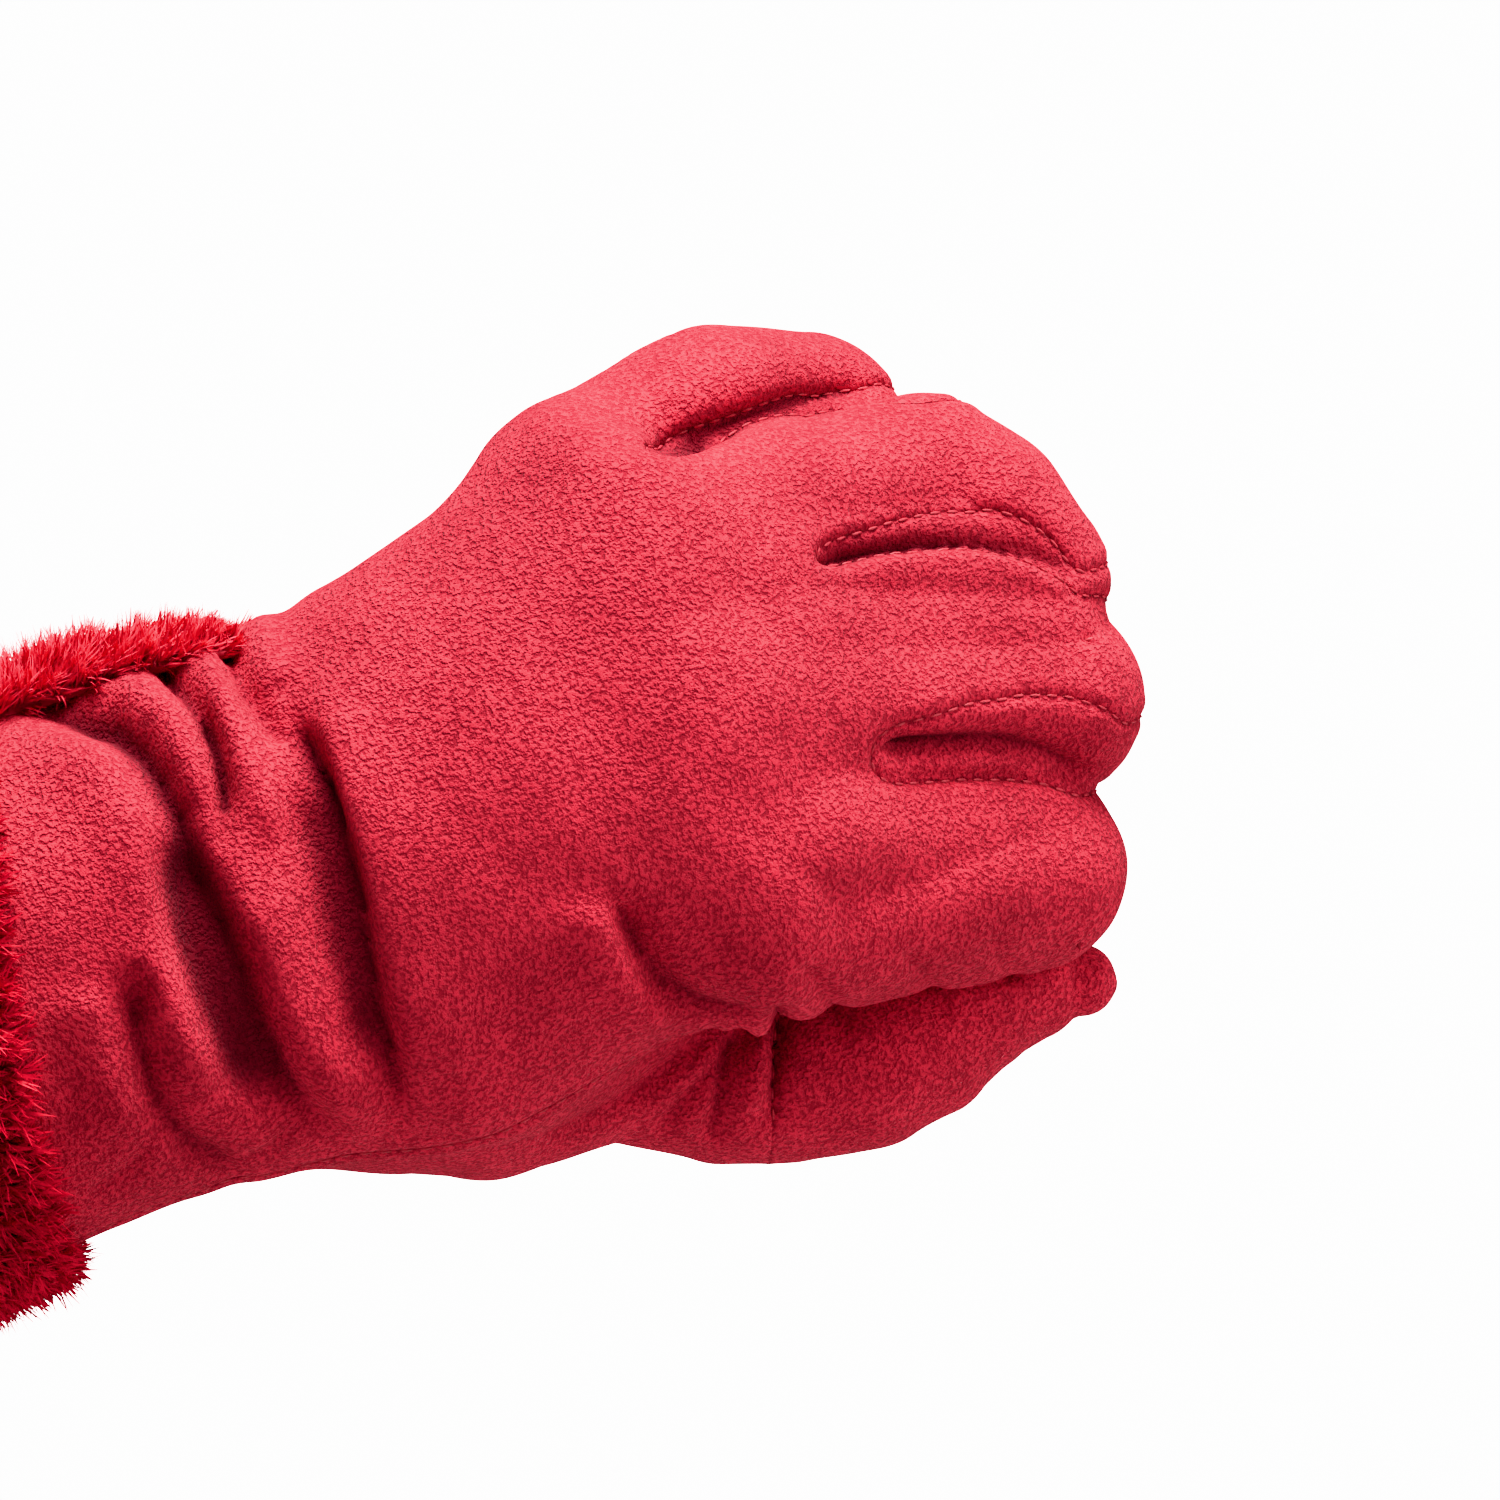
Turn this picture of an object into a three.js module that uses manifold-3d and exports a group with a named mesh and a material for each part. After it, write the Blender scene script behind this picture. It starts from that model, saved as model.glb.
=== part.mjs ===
import * as THREE from 'three';
import { mergeVertices } from 'three/addons/utils/BufferGeometryUtils.js';
import Module from 'manifold-3d';

// A left-hand fleece glove that keeps the form of a loose fist, in millimetres.
// The origin is the middle of the wrist. +X runs to the knuckles, +Z to the little finger,
// and the back of the hand faces -Y.

// Driving sizes
const wall = 3.6;
const seamGap = 0.3;
const slitHalf = 0.2;
const fingerWeb = 5.4;
const digitBlend = 8;
const frontBlend = 10;
const cuffEnd = -52;
const stripLead = 5;
const webLead = 3;
const furClearance = 0.5;
const outerCell = 8.2;
const innerCell = 10.4;
const shortestEdge = 0.03;
const farOut = 120;

// Turns rows of numbers into objects with the named columns.
function readTable(columns, rows) {
  return rows.map((row) => Object.fromEntries(columns.map((name, i) => [name, row[i]])));
}

// Sections of the cuff and hand across X: centre and half size in depth (Y) and height (Z).
const sections = readTable(
  ['x', 'depthMid', 'heightMid', 'halfDepth', 'halfHeight', 'squareness'],
  [
    [-80, 2.0, -4.5, 30.5, 33.5, 2.2],
    [-60, 2.0, -4.0, 30.0, 34.0, 2.2],
    [-40, 1.0, -3.0, 28.5, 34.5, 2.2],
    [-25, 0.5, -1.3, 27.5, 35.0, 2.2],
    [-10, 0.0, -1.3, 26.0, 35.2, 2.2],
    [2, 0.0, -2.2, 24.5, 35.8, 2.2],
    [11, 0.0, -3.4, 23.0, 36.6, 2.2],
    [19, -0.5, -3.0, 24.0, 38.6, 2.3],
    [32, -1.0, 0.8, 24.0, 40.2, 2.4],
    [48, -1.0, 5.7, 22.5, 41.2, 2.5],
    [64, -1.0, 7.0, 20.5, 43.6, 2.6],
    [76, 4.0, 6.5, 17.0, 42.0, 2.6],
    [92, 13.0, 5.0, 13.0, 38.0, 2.5],
  ],
);

// Where the hand ends and the fingers go on alone, along the height.
const handFront = readTable(
  ['height', 'x'],
  [
    [-60, 56],
    [-38, 62],
    [-9, 83],
    [19, 85],
    [40, 68],
    [54, 56],
    [70, 50],
  ],
);

// Each digit is a chain of round joints, from the hand to the tip.
const joint = ['x', 'y', 'z', 'radius'];
const digits = {
  index: readTable(joint, [
    [62, -1, -23, 15],
    [97, 21, -29, 14],
    [81, 41, -25, 12.5],
    [62, 36, -20, 10],
  ]),
  middle: readTable(joint, [
    [66, -4, 3, 15.5],
    [106.5, 22, -8, 14],
    [87, 44, -7, 12.5],
    [66, 38, -5, 10.5],
  ]),
  ring: readTable(joint, [
    [64, -2, 26, 15],
    [103.5, 21, 26, 12],
    [107.5, 22, 9, 14],
    [88, 44, 9, 12],
    [67, 38, 8, 10],
  ]),
  ringFlank: readTable(joint, [
    [72, 0, 20, 13],
    [107.5, 22, 9, 14],
  ]),
  little: readTable(joint, [
    [56, 6, 36.5, 14],
    [87.5, 30, 40.2, 12.4],
    [77, 45, 27, 11],
    [63, 39, 21, 9.5],
  ]),
  thumb: readTable(joint, [
    [20, 14, -29, 16.5],
    [38, 20, -33, 13.5],
    [50, 26, -42, 12.5],
    [63, 28, -46, 12.5],
    [78, 30, -44.5, 12.5],
    [93, 32, -42.5, 9.5],
    [101, 32, -44.5, 4.5],
    [103, 32, -46, 2.6],
  ]),
};

// Folds and creases of the wrist and cuff. A path runs over the surface through pairs of
// X and the angle round the arm: 0 at the little-finger side, 90 at the back, 270 at the palm.
const folds = readTable(
  ['rise', 'spread', 'path'],
  [
    [-4.2, 4.5, [[14, 25], [13, 60], [12, 95], [10.5, 140], [9, 180]]],
    [-3.0, 4.5, [[9, 180], [8, 230], [10, 290], [14, 345], [14, 385]]],
    [2.6, 4.2, [[2, 60], [-1, 88], [-3, 125], [0, 170], [0, 200]]],
    [-3.2, 3.2, [[-10, 35], [-5, 60], [-6, 85], [-5, 125], [-3, 150]]],
    [3.0, 5.0, [[-21, 8], [-14, 32], [-10, 60], [-10, 85], [-12, 115]]],
    [2.2, 4.5, [[-7, 350], [-3, 20], [3, 40]]],
    [-2.6, 3.6, [[-24, 70], [-20, 100], [-20, 135], [-16, 165]]],
    [2.4, 5.0, [[-14, 120], [-14, 150], [-10, 185]]],
    [-2.4, 3.6, [[36, 180], [37, 200], [36, 225]]],
    [-2.2, 4.0, [[-12, 210], [-14, 260], [-12, 320]]],
  ],
);

function mix(a, b, t) {
  return a + (b - a) * t;
}

// A smooth curve through one column of a table.
function curveThrough(table, key, column, value) {
  const last = table.length - 1;
  const clamped = Math.min(Math.max(value, table[0][key]), table[last][key]);
  let i = 0;
  while (i < last - 1 && clamped > table[i + 1][key]) {
    i += 1;
  }
  const slope = (n) => {
    const before = table[Math.max(n - 1, 0)];
    const after = table[Math.min(n + 1, last)];
    return (after[column] - before[column]) / (after[key] - before[key]);
  };
  const span = table[i + 1][key] - table[i][key];
  const t = (clamped - table[i][key]) / span;
  const t2 = t * t;
  const t3 = t2 * t;
  return (2 * t3 - 3 * t2 + 1) * table[i][column]
    + (t3 - 2 * t2 + t) * span * slope(i)
    + (3 * t2 - 2 * t3) * table[i + 1][column]
    + (t3 - t2) * span * slope(i + 1);
}

function sectionAt(x) {
  const at = (column) => curveThrough(sections, 'x', column, x);
  return {
    depthMid: at('depthMid'),
    heightMid: at('heightMid'),
    halfDepth: at('halfDepth'),
    halfHeight: at('halfHeight'),
    squareness: at('squareness'),
  };
}

// A point on the section's outline, at an angle in degrees, moved out by grow.
function outlinePoint(x, degrees, grow) {
  const section = sectionAt(x);
  const angle = THREE.MathUtils.degToRad(degrees);
  const alongDepth = -Math.sin(angle);
  const alongHeight = Math.cos(angle);
  const power = section.squareness;
  const scale = (Math.abs(alongDepth / (section.halfDepth + grow)) ** power
    + Math.abs(alongHeight / (section.halfHeight + grow)) ** power) ** (-1 / power);
  return new THREE.Vector3(
    x,
    section.depthMid + alongDepth * scale,
    section.heightMid + alongHeight * scale,
  );
}

const foldSteps = 5;
const foldPaths = folds.map(({ rise, spread, path }) => {
  const points = [];
  for (let i = 0; i < path.length - 1; i += 1) {
    for (let step = 0; step < foldSteps; step += 1) {
      const t = step / foldSteps;
      const x = mix(path[i][0], path[i + 1][0], t);
      const degrees = mix(path[i][1], path[i + 1][1], t);
      points.push(outlinePoint(x, degrees, 0));
    }
  }
  points.push(outlinePoint(...path[path.length - 1], 0));
  return { rise, spread, points, box: new THREE.Box3().setFromPoints(points) };
});

function smoothMin(a, b, blend) {
  const overlap = Math.max(blend - Math.abs(a - b), 0) / blend;
  return Math.min(a, b) - overlap * overlap * blend * 0.25;
}

// Distance from the surface of the cuff and hand, less than zero inside.
function handDistance(point, inset) {
  const section = sectionAt(point.x);
  const depth = point.y - section.depthMid;
  const height = point.z - section.heightMid;
  const power = section.squareness;
  const reach = Math.hypot(depth, height);
  const share = (Math.abs(depth / (section.halfDepth - inset)) ** power
    + Math.abs(height / (section.halfHeight - inset)) ** power) ** (1 / power);
  const side = share > 0.01 ? reach - reach / share : inset - section.halfDepth;
  const front = point.x - curveThrough(handFront, 'height', 'x', point.z) + inset;
  return -smoothMin(-side, -front, frontBlend);
}

// Distance from a tapered round bar between two joints.
function barDistance(point, from, to) {
  const alongX = to.x - from.x;
  const alongY = to.y - from.y;
  const alongZ = to.z - from.z;
  const lengthSquared = alongX ** 2 + alongY ** 2 + alongZ ** 2;
  const dot = (point.x - from.x) * alongX + (point.y - from.y) * alongY
    + (point.z - from.z) * alongZ;
  const t = Math.min(Math.max(dot / lengthSquared, 0), 1);
  const away = Math.hypot(
    point.x - from.x - alongX * t,
    point.y - from.y - alongY * t,
    point.z - from.z - alongZ * t,
  );
  return away - mix(from.radius, to.radius, t);
}

function digitDistance(point) {
  let nearest = Infinity;
  for (const chain of Object.values(digits)) {
    for (let i = 0; i < chain.length - 1; i += 1) {
      nearest = Math.min(nearest, barDistance(point, chain[i], chain[i + 1]));
    }
  }
  return nearest;
}

// How far the folds lift the cloth near a point. Past a few spreads a fold has faded out.
const foldFade = 2.5;
function foldRise(point) {
  let rise = 0;
  for (const fold of foldPaths) {
    if (fold.box.distanceToPoint(point) < fold.spread * foldFade) {
      let nearest = Infinity;
      for (const pathPoint of fold.points) {
        nearest = Math.min(nearest, pathPoint.distanceTo(point));
      }
      rise += fold.rise * Math.exp(-((nearest / fold.spread) ** 2));
    }
  }
  return rise;
}

// The glove's form as a distance field, moved in by inset.
function gloveDistance(point, inset) {
  const form = smoothMin(handDistance(point, inset), digitDistance(point) + inset, digitBlend);
  return form - foldRise(point);
}

// Corners, edges and faces of one grid cell. Edge numbers are axis * 4 + b * 2 + c.
const cellEdges = [];
const cellFaces = [];
for (let axis = 0; axis < 3; axis += 1) {
  const second = (axis + 1) % 3;
  const third = (axis + 2) % 3;
  const corner = (a, b, c) => a * 2 ** axis + b * 2 ** second + c * 2 ** third;
  const edge = (edgeAxis, b, c) => edgeAxis * 4 + b * 2 + c;
  for (const b of [0, 1]) {
    for (const c of [0, 1]) {
      cellEdges.push([corner(0, b, c), corner(1, b, c)]);
    }
  }
  for (const a of [0, 1]) {
    cellFaces.push([
      { corner: corner(a, 0, 0), edges: [edge(second, 0, a), edge(third, a, 0)] },
      { corner: corner(a, 1, 0), edges: [edge(second, 0, a), edge(third, a, 1)] },
      { corner: corner(a, 0, 1), edges: [edge(second, 1, a), edge(third, a, 0)] },
      { corner: corner(a, 1, 1), edges: [edge(second, 1, a), edge(third, a, 1)] },
    ]);
  }
}

// Groups the edges that the surface crosses in one cell, so that two sheets stay apart.
function groupCrossings(inside) {
  const group = cellEdges.map(([from, to], i) => (inside[from] === inside[to] ? -1 : i));
  const join = (a, b) => {
    const from = group[b];
    const to = group[a];
    group.forEach((value, i) => {
      if (value === from) {
        group[i] = to;
      }
    });
  };
  for (const face of cellFaces) {
    const crossed = [...new Set(face.flatMap(({ edges }) => edges))].filter((e) => group[e] >= 0);
    if (crossed.length === 2) {
      join(crossed[0], crossed[1]);
    } else if (crossed.length === 4) {
      face.filter(({ corner }) => inside[corner]).forEach(({ edges }) => join(edges[0], edges[1]));
    }
  }
  return group;
}

// Meshes the zero surface of a distance field in a box with cubic cells.
function meshField(distance, box, cell) {
  const counts = [0, 1, 2].map((axis) => {
    const low = box.min.getComponent(axis);
    return Math.ceil((box.max.getComponent(axis) - low) / cell) + 1;
  });
  const indexOf = (i, j, k) => i + counts[0] * (j + counts[1] * k);
  const values = new Float32Array(counts[0] * counts[1] * counts[2]);
  const at = new THREE.Vector3();
  for (let k = 0; k < counts[2]; k += 1) {
    for (let j = 0; j < counts[1]; j += 1) {
      for (let i = 0; i < counts[0]; i += 1) {
        at.set(i, j, k).multiplyScalar(cell).add(box.min);
        const onBorder = [i, j, k].some((n, axis) => n === 0 || n === counts[axis] - 1);
        values[indexOf(i, j, k)] = onBorder ? cell : distance(at);
      }
    }
  }
  const positions = [];
  const vertexOfEdge = new Map();
  const addCell = (i, j, k) => {
    const corners = [];
    for (let n = 0; n < 8; n += 1) {
      corners.push([i + (n & 1), j + ((n >> 1) & 1), k + ((n >> 2) & 1)]);
    }
    const levels = corners.map((corner) => values[indexOf(...corner)]);
    const inside = levels.map((level) => level < 0);
    if (inside.every((flag) => flag === inside[0])) {
      return;
    }
    const group = groupCrossings(inside);
    for (const label of new Set(group.filter((value) => value >= 0))) {
      const middle = new THREE.Vector3();
      let count = 0;
      group.forEach((value, e) => {
        if (value === label) {
          const [from, to] = cellEdges[e];
          const t = levels[from] / (levels[from] - levels[to]);
          const start = new THREE.Vector3(...corners[from]);
          middle.add(start.lerp(new THREE.Vector3(...corners[to]), t));
          count += 1;
          vertexOfEdge.set(indexOf(i, j, k) * 12 + e, positions.length);
        }
      });
      middle.divideScalar(count).multiplyScalar(cell).add(box.min);
      positions.push(settle(middle, distance, cell * 0.25));
    }
  };
  for (let k = 0; k < counts[2] - 1; k += 1) {
    for (let j = 0; j < counts[1] - 1; j += 1) {
      for (let i = 0; i < counts[0] - 1; i += 1) {
        addCell(i, j, k);
      }
    }
  }
  const faces = [];
  const addQuad = (place, axis) => {
    const next = [...place];
    next[axis] += 1;
    if (next[axis] === counts[axis]) {
      return;
    }
    const startsInside = values[indexOf(...place)] < 0;
    if (startsInside === (values[indexOf(...next)] < 0)) {
      return;
    }
    const second = (axis + 1) % 3;
    const third = (axis + 2) % 3;
    const ring = [[0, 0], [1, 0], [1, 1], [0, 1]].map(([b, c]) => {
      const owner = [...place];
      owner[second] -= b;
      owner[third] -= c;
      return vertexOfEdge.get(indexOf(...owner) * 12 + axis * 4 + b * 2 + c);
    });
    const quad = startsInside ? ring : ring.reverse();
    const [a, b, c, d] = quad.map((n) => positions[n]);
    if (a.distanceTo(c) < b.distanceTo(d)) {
      faces.push(quad[0], quad[1], quad[2], quad[0], quad[2], quad[3]);
    } else {
      faces.push(quad[1], quad[2], quad[3], quad[1], quad[3], quad[0]);
    }
  };
  for (let k = 0; k < counts[2]; k += 1) {
    for (let j = 0; j < counts[1]; j += 1) {
      for (let i = 0; i < counts[0]; i += 1) {
        [0, 1, 2].forEach((axis) => addQuad([i, j, k], axis));
      }
    }
  }
  return { positions, faces };
}

// Moves a point onto the field's surface, by two short steps along its slope.
function settle(point, distance, reach) {
  const settled = point.clone();
  const probe = 0.5;
  for (let step = 0; step < 2; step += 1) {
    const level = distance(settled);
    const slope = new THREE.Vector3();
    for (let axis = 0; axis < 3; axis += 1) {
      const aside = settled.clone();
      aside.setComponent(axis, settled.getComponent(axis) + probe);
      slope.setComponent(axis, (distance(aside) - level) / probe);
    }
    const size = Math.max(slope.length(), 0.3);
    const move = THREE.MathUtils.clamp(-level / size, -reach, reach);
    settled.addScaledVector(slope.normalize(), move);
  }
  return settled;
}

const wasm = await Module();
wasm.setup();

function solidFrom({ positions, faces }) {
  const vertProperties = new Float32Array(positions.flatMap((point) => point.toArray()));
  const triVerts = new Uint32Array(faces);
  return new wasm.Manifold(new wasm.Mesh({ numProp: 3, vertProperties, triVerts }));
}

function solidFromGeometry(geometry) {
  const bare = geometry.clone();
  bare.deleteAttribute('normal');
  bare.deleteAttribute('uv');
  const merged = mergeVertices(bare, 1e-4);
  const positions = [];
  for (let i = 0; i < merged.attributes.position.count; i += 1) {
    positions.push(new THREE.Vector3().fromBufferAttribute(merged.attributes.position, i));
  }
  return solidFrom({ positions, faces: [...merged.index.array] });
}

function signedVolume(positions, faces) {
  let volume = 0;
  for (let i = 0; i < faces.length; i += 3) {
    const [a, b, c] = [0, 1, 2].map((n) => positions[faces[i + n]]);
    volume += a.dot(new THREE.Vector3().crossVectors(b, c)) / 6;
  }
  return volume;
}

// Triangles that fill a flat outline, wound the way the outline runs.
function fillOutline(flat) {
  const { area, triangulateShape } = THREE.ShapeUtils;
  return triangulateShape(flat, []).map((face) => {
    const sameWay = area(face.map((i) => flat[i])) * area(flat) > 0;
    return sameWay ? face : [...face].reverse();
  });
}

// Joins rings of equal length into a closed solid, capped with the given triangles. The
// far half of each ring is split the other way, so that the two sides of a slab stay parallel.
function loft(rings, capFaces, closesOnItself = false) {
  const size = rings[0].length;
  const positions = rings.flat();
  const faces = [];
  const bands = closesOnItself ? rings.length : rings.length - 1;
  for (let r = 0; r < bands; r += 1) {
    const nextRing = (r + 1) % rings.length;
    for (let i = 0; i < size; i += 1) {
      const j = (i + 1) % size;
      const [a, b, c, d] = [r * size + i, r * size + j, nextRing * size + j, nextRing * size + i];
      faces.push(...(i < size / 2 ? [a, b, c, a, c, d] : [b, c, d, b, d, a]));
    }
  }
  if (!closesOnItself) {
    const top = (rings.length - 1) * size;
    for (const [a, b, c] of capFaces) {
      faces.push(c, b, a);
      faces.push(top + a, top + b, top + c);
    }
  }
  if (signedVolume(positions, faces) < 0) {
    for (let i = 0; i < faces.length; i += 3) {
      [faces[i], faces[i + 1]] = [faces[i + 1], faces[i]];
    }
  }
  return solidFrom({ positions, faces });
}

function box(minX, minY, minZ, maxX, maxY, maxZ) {
  const geometry = new THREE.BoxGeometry(maxX - minX, maxY - minY, maxZ - minZ);
  geometry.translate((minX + maxX) / 2, (minY + maxY) / 2, (minZ + maxZ) / 2);
  return solidFromGeometry(geometry);
}

// The clefts between the fingers turn round a middle line of the curled hand, from the
// crotch at the back, over the knuckles and under the fist to the finger tips.
const clefts = readTable(
  ['name', 'midX', 'midY', 'start', 'zBack', 'zFront', 'zUnder', 'zTip', 'above', 'below'],
  [
    ['fourchette_little_ring', 70, 27, -91, 40.5, 37.0, 18.5, 14.5, 5, 5],
    ['fourchette_ring_middle', 78.5, 22, -77, 19.5, 0.6, 0.8, 1.5, 9, 5],
    ['fourchette_middle_index', 75.5, 22, -75, -8.0, -20.5, -16.5, -12.5, 6, 6],
  ],
);
const cleftEnd = 166;
const cleftReach = 62;
const cleftCore = 4.5;
const cleftSteps = 9;
const turnGrowth = 2;
const heightGrowth = 1.6;

function cleftHeight(cleft, degrees) {
  const stops = readTable(
    ['turn', 'z'],
    [[cleft.start, cleft.zBack], [0, cleft.zFront], [90, cleft.zUnder], [cleftEnd, cleft.zTip]],
  );
  return curveThrough(stops, 'turn', 'z', degrees);
}

// A curved slab along a cleft, reaching above and below it, started early by lead degrees
// and grown on all its sides. Its faces slant, so it grows more in height than across.
function cleftSlab(cleft, above, below, lead, grow = 0) {
  const rings = [];
  const turns = [cleft.start - lead - grow * turnGrowth];
  for (let i = 0; i <= cleftSteps; i += 1) {
    turns.push(mix(cleft.start, cleftEnd, i / cleftSteps));
  }
  turns.push(cleftEnd + 1 + grow * turnGrowth);
  for (const degrees of turns) {
    const angle = THREE.MathUtils.degToRad(degrees);
    const z = cleftHeight(cleft, degrees);
    const point = (reach, lift) => new THREE.Vector3(
      cleft.midX + reach * Math.cos(angle),
      cleft.midY + reach * Math.sin(angle),
      z + lift,
    );
    rings.push([
      point(cleftCore - grow, -below - grow * heightGrowth),
      point(cleftReach, -below - grow * heightGrowth),
      point(cleftReach, above + grow * heightGrowth),
      point(cleftCore - grow, above + grow * heightGrowth),
    ]);
  }
  return loft(rings, [[0, 1, 2], [0, 2, 3]]);
}

// The thumb lies against the index finger. Its side of the seam is a prism along X,
// drawn in depth and height.
const thumbSeamStart = 41;
const thumbWebStart = 50;
const thumbSeamSlant = 0.6;
const thumbSeam = readTable(
  ['y', 'z'],
  [
    [9, -56],
    [13, -47],
    [19, -41],
    [25, -37.5],
    [70, -36.5],
  ],
);

function thumbPrism(startX, lift) {
  const edge = thumbSeam.map(({ y, z }) => [y - lift * thumbSeamSlant, z + lift]);
  const outline = [...edge, [farOut, -farOut], [edge[0][0], -farOut]];
  const ring = (x) => outline.map(([y, z]) => new THREE.Vector3(x, y, z));
  const flat = outline.map(([y, z]) => new THREE.Vector2(y, z));
  return loft([ring(startX), ring(farOut)], fillOutline(flat));
}

// Middle line of each finger's sides, from the cuff over the joints to past the tip.
function sideLine(chain, wristDepth, outward) {
  const tip = chain[chain.length - 1];
  const line = [
    new THREE.Vector2(-farOut, wristDepth),
    new THREE.Vector2(24, wristDepth),
    ...chain.map(({ x, y }) => new THREE.Vector2(x, y)),
    new THREE.Vector2(tip.x - 10, tip.y - 3.4),
    new THREE.Vector2(tip.x - 70, tip.y + 8),
  ];
  return line.map((point, i) => {
    const before = line[Math.max(i - 1, 0)];
    const after = line[Math.min(i + 1, line.length - 1)];
    const along = after.clone().sub(before).normalize();
    return new THREE.Vector2(point.x + along.y * outward, point.y - along.x * outward);
  });
}

// Everything on the back side of the middle line, moved out by outward.
function backSide(outward) {
  const levels = [
    { z: -farOut, chain: digits.index, wristDepth: -7 },
    { z: -42, chain: digits.index, wristDepth: -7 },
    { z: -25, chain: digits.index, wristDepth: -4 },
    { z: -6, chain: digits.middle, wristDepth: 0 },
    { z: 12, chain: digits.ring.filter((_, i) => i !== 1), wristDepth: 0 },
    { z: 36, chain: digits.little, wristDepth: 2 },
    { z: farOut, chain: digits.little, wristDepth: 2 },
  ];
  const outlines = levels.map(({ chain, wristDepth }) => {
    const line = sideLine(chain, wristDepth, outward);
    const end = line[line.length - 1];
    return [
      ...line,
      new THREE.Vector2(end.x, farOut),
      new THREE.Vector2(farOut * 1.5, farOut),
      new THREE.Vector2(farOut * 1.5, -farOut),
      new THREE.Vector2(-farOut, -farOut),
    ];
  });
  const rings = outlines.map((outline, i) => (
    outline.map((point) => new THREE.Vector3(point.x, point.y, levels[i].z))
  ));
  return loft(rings, fillOutline(outlines[0]));
}

const fieldBox = new THREE.Box3(new THREE.Vector3(-66, -36, -66), new THREE.Vector3(130, 66, 66));
const outside = solidFrom(meshField((p) => gloveDistance(p, 0), fieldBox, outerCell));
const hollow = solidFrom(meshField((p) => gloveDistance(p, wall), fieldBox, innerCell));

// Cloth stays between neighbouring hollows.
let hollows = hollow;
for (const cleft of clefts) {
  hollows = hollows.subtract(cleftSlab(cleft, fingerWeb / 2, fingerWeb / 2, webLead));
}
const thumbSide = thumbPrism(thumbWebStart - 1, -fingerWeb / 2);
hollows = hollows.subtract(thumbPrism(thumbWebStart, fingerWeb / 2).subtract(thumbSide));

// The whole cloth form, open at the cuff.
const pastCuff = box(-farOut, -farOut, -farOut, cuffEnd, farOut, farOut);
let cloth = outside.subtract(hollows).subtract(pastCuff);

// The seams part it into panels. A side strip is folded at the crotch of two fingers.
const pieces = { thumb_stall: cloth.intersect(thumbPrism(thumbSeamStart, -seamGap / 2)) };
cloth = cloth.subtract(thumbPrism(thumbSeamStart - seamGap, seamGap / 2));
for (const cleft of clefts) {
  const strip = (grow) => cleftSlab(cleft, cleft.above, cleft.below, stripLead, grow);
  const slit = cleftSlab(cleft, 0, 0, 0, slitHalf);
  pieces[cleft.name] = cloth.intersect(strip(0)).subtract(slit);
  cloth = cloth.subtract(strip(seamGap));
}
pieces.back_panel = cloth.intersect(backSide(seamGap / 2));
pieces.palm_panel = cloth.subtract(backSide(-seamGap / 2));

// Plush trim. Its pile stands in locks, so every other point of a row is lifted by the lock
// and the next row is shifted. The hem band is rolled over the end of the cuff, and its
// front edge slants.
const lockRise = 1.7;
const hemFrontMid = -32.7;
const hemFrontSlant = 5.3;
const hemAround = 30;
const hemProfile = readTable(
  ['fromFront', 'x', 'grow', 'locks'],
  [
    [1, 0.4, 0.9, 0],
    [1, 0.2, 4.2, 0.6],
    [1, -5, 6.8, 1],
    [1, -11, 6.8, 1],
    [0, -51, 7, 1],
    [0, -57, 6.2, 1],
    [0, -61, 2.2, 0.5],
    [0, -59, -2.4, 0],
    [0, -52.8, -2.8, 0],
    [0, -52.8, 0.9, 0],
  ],
);

function lockLift(row, i, share) {
  return share * lockRise * ((row + i) % 2 === 0 ? 1 : -1);
}

function hemFront(degrees) {
  return hemFrontMid + hemFrontSlant * Math.cos(THREE.MathUtils.degToRad(degrees));
}

function makeHemBand() {
  const rings = hemProfile.map(({ fromFront, x, grow, locks }, row) => {
    const ring = [];
    for (let i = 0; i < hemAround; i += 1) {
      const degrees = i * 360 / hemAround;
      const lift = lockLift(row, i, locks);
      ring.push(outlinePoint(fromFront ? hemFront(degrees) + x - lift : x, degrees, grow + lift));
    }
    return ring;
  });
  return loft(rings, [], true);
}

// The vent strip lies along the little-finger side, from the hem to past the wrist.
const ventFrom = -42;
const ventTo = 12;
const ventSections = readTable(
  ['x', 'thick'],
  [
    [-25.6, 6],
    [-21, 7.4],
    [-16, 7.4],
    [-11, 7],
    [-6, 6.4],
    [-1, 5.4],
    [4, 4],
    [8.5, 1.8],
  ],
);
const ventSteps = 8;
const ventEdgeShare = 0.3;
const ventLocks = 0.6;

function makeVentStrip() {
  const rings = ventSections.map(({ x, thick }, row) => {
    const ring = [];
    for (let i = 0; i <= ventSteps; i += 1) {
      const t = i / ventSteps;
      const crown = thick * mix(ventEdgeShare, 1, Math.sin(Math.PI * t));
      const lift = lockLift(row, i, ventLocks);
      ring.push(outlinePoint(x, mix(ventFrom, ventTo, t), crown + lift));
    }
    for (let i = ventSteps; i >= 0; i -= 1) {
      ring.push(outlinePoint(x, mix(ventFrom, ventTo, i / ventSteps), -1));
    }
    return ring;
  });
  const flat = rings[0].map((point) => new THREE.Vector2(point.y, point.z));
  return loft(rings, fillOutline(flat));
}

const clearance = solidFrom(meshField((p) => gloveDistance(p, -furClearance), fieldBox, outerCell));
const pastClearance = box(-farOut, -farOut, -farOut, cuffEnd - seamGap, farOut, farOut);
const cuffClearance = clearance.subtract(pastClearance);
pieces.fur_hem = makeHemBand().subtract(cuffClearance);
pieces.fur_vent = makeVentStrip().subtract(cuffClearance);

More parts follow.
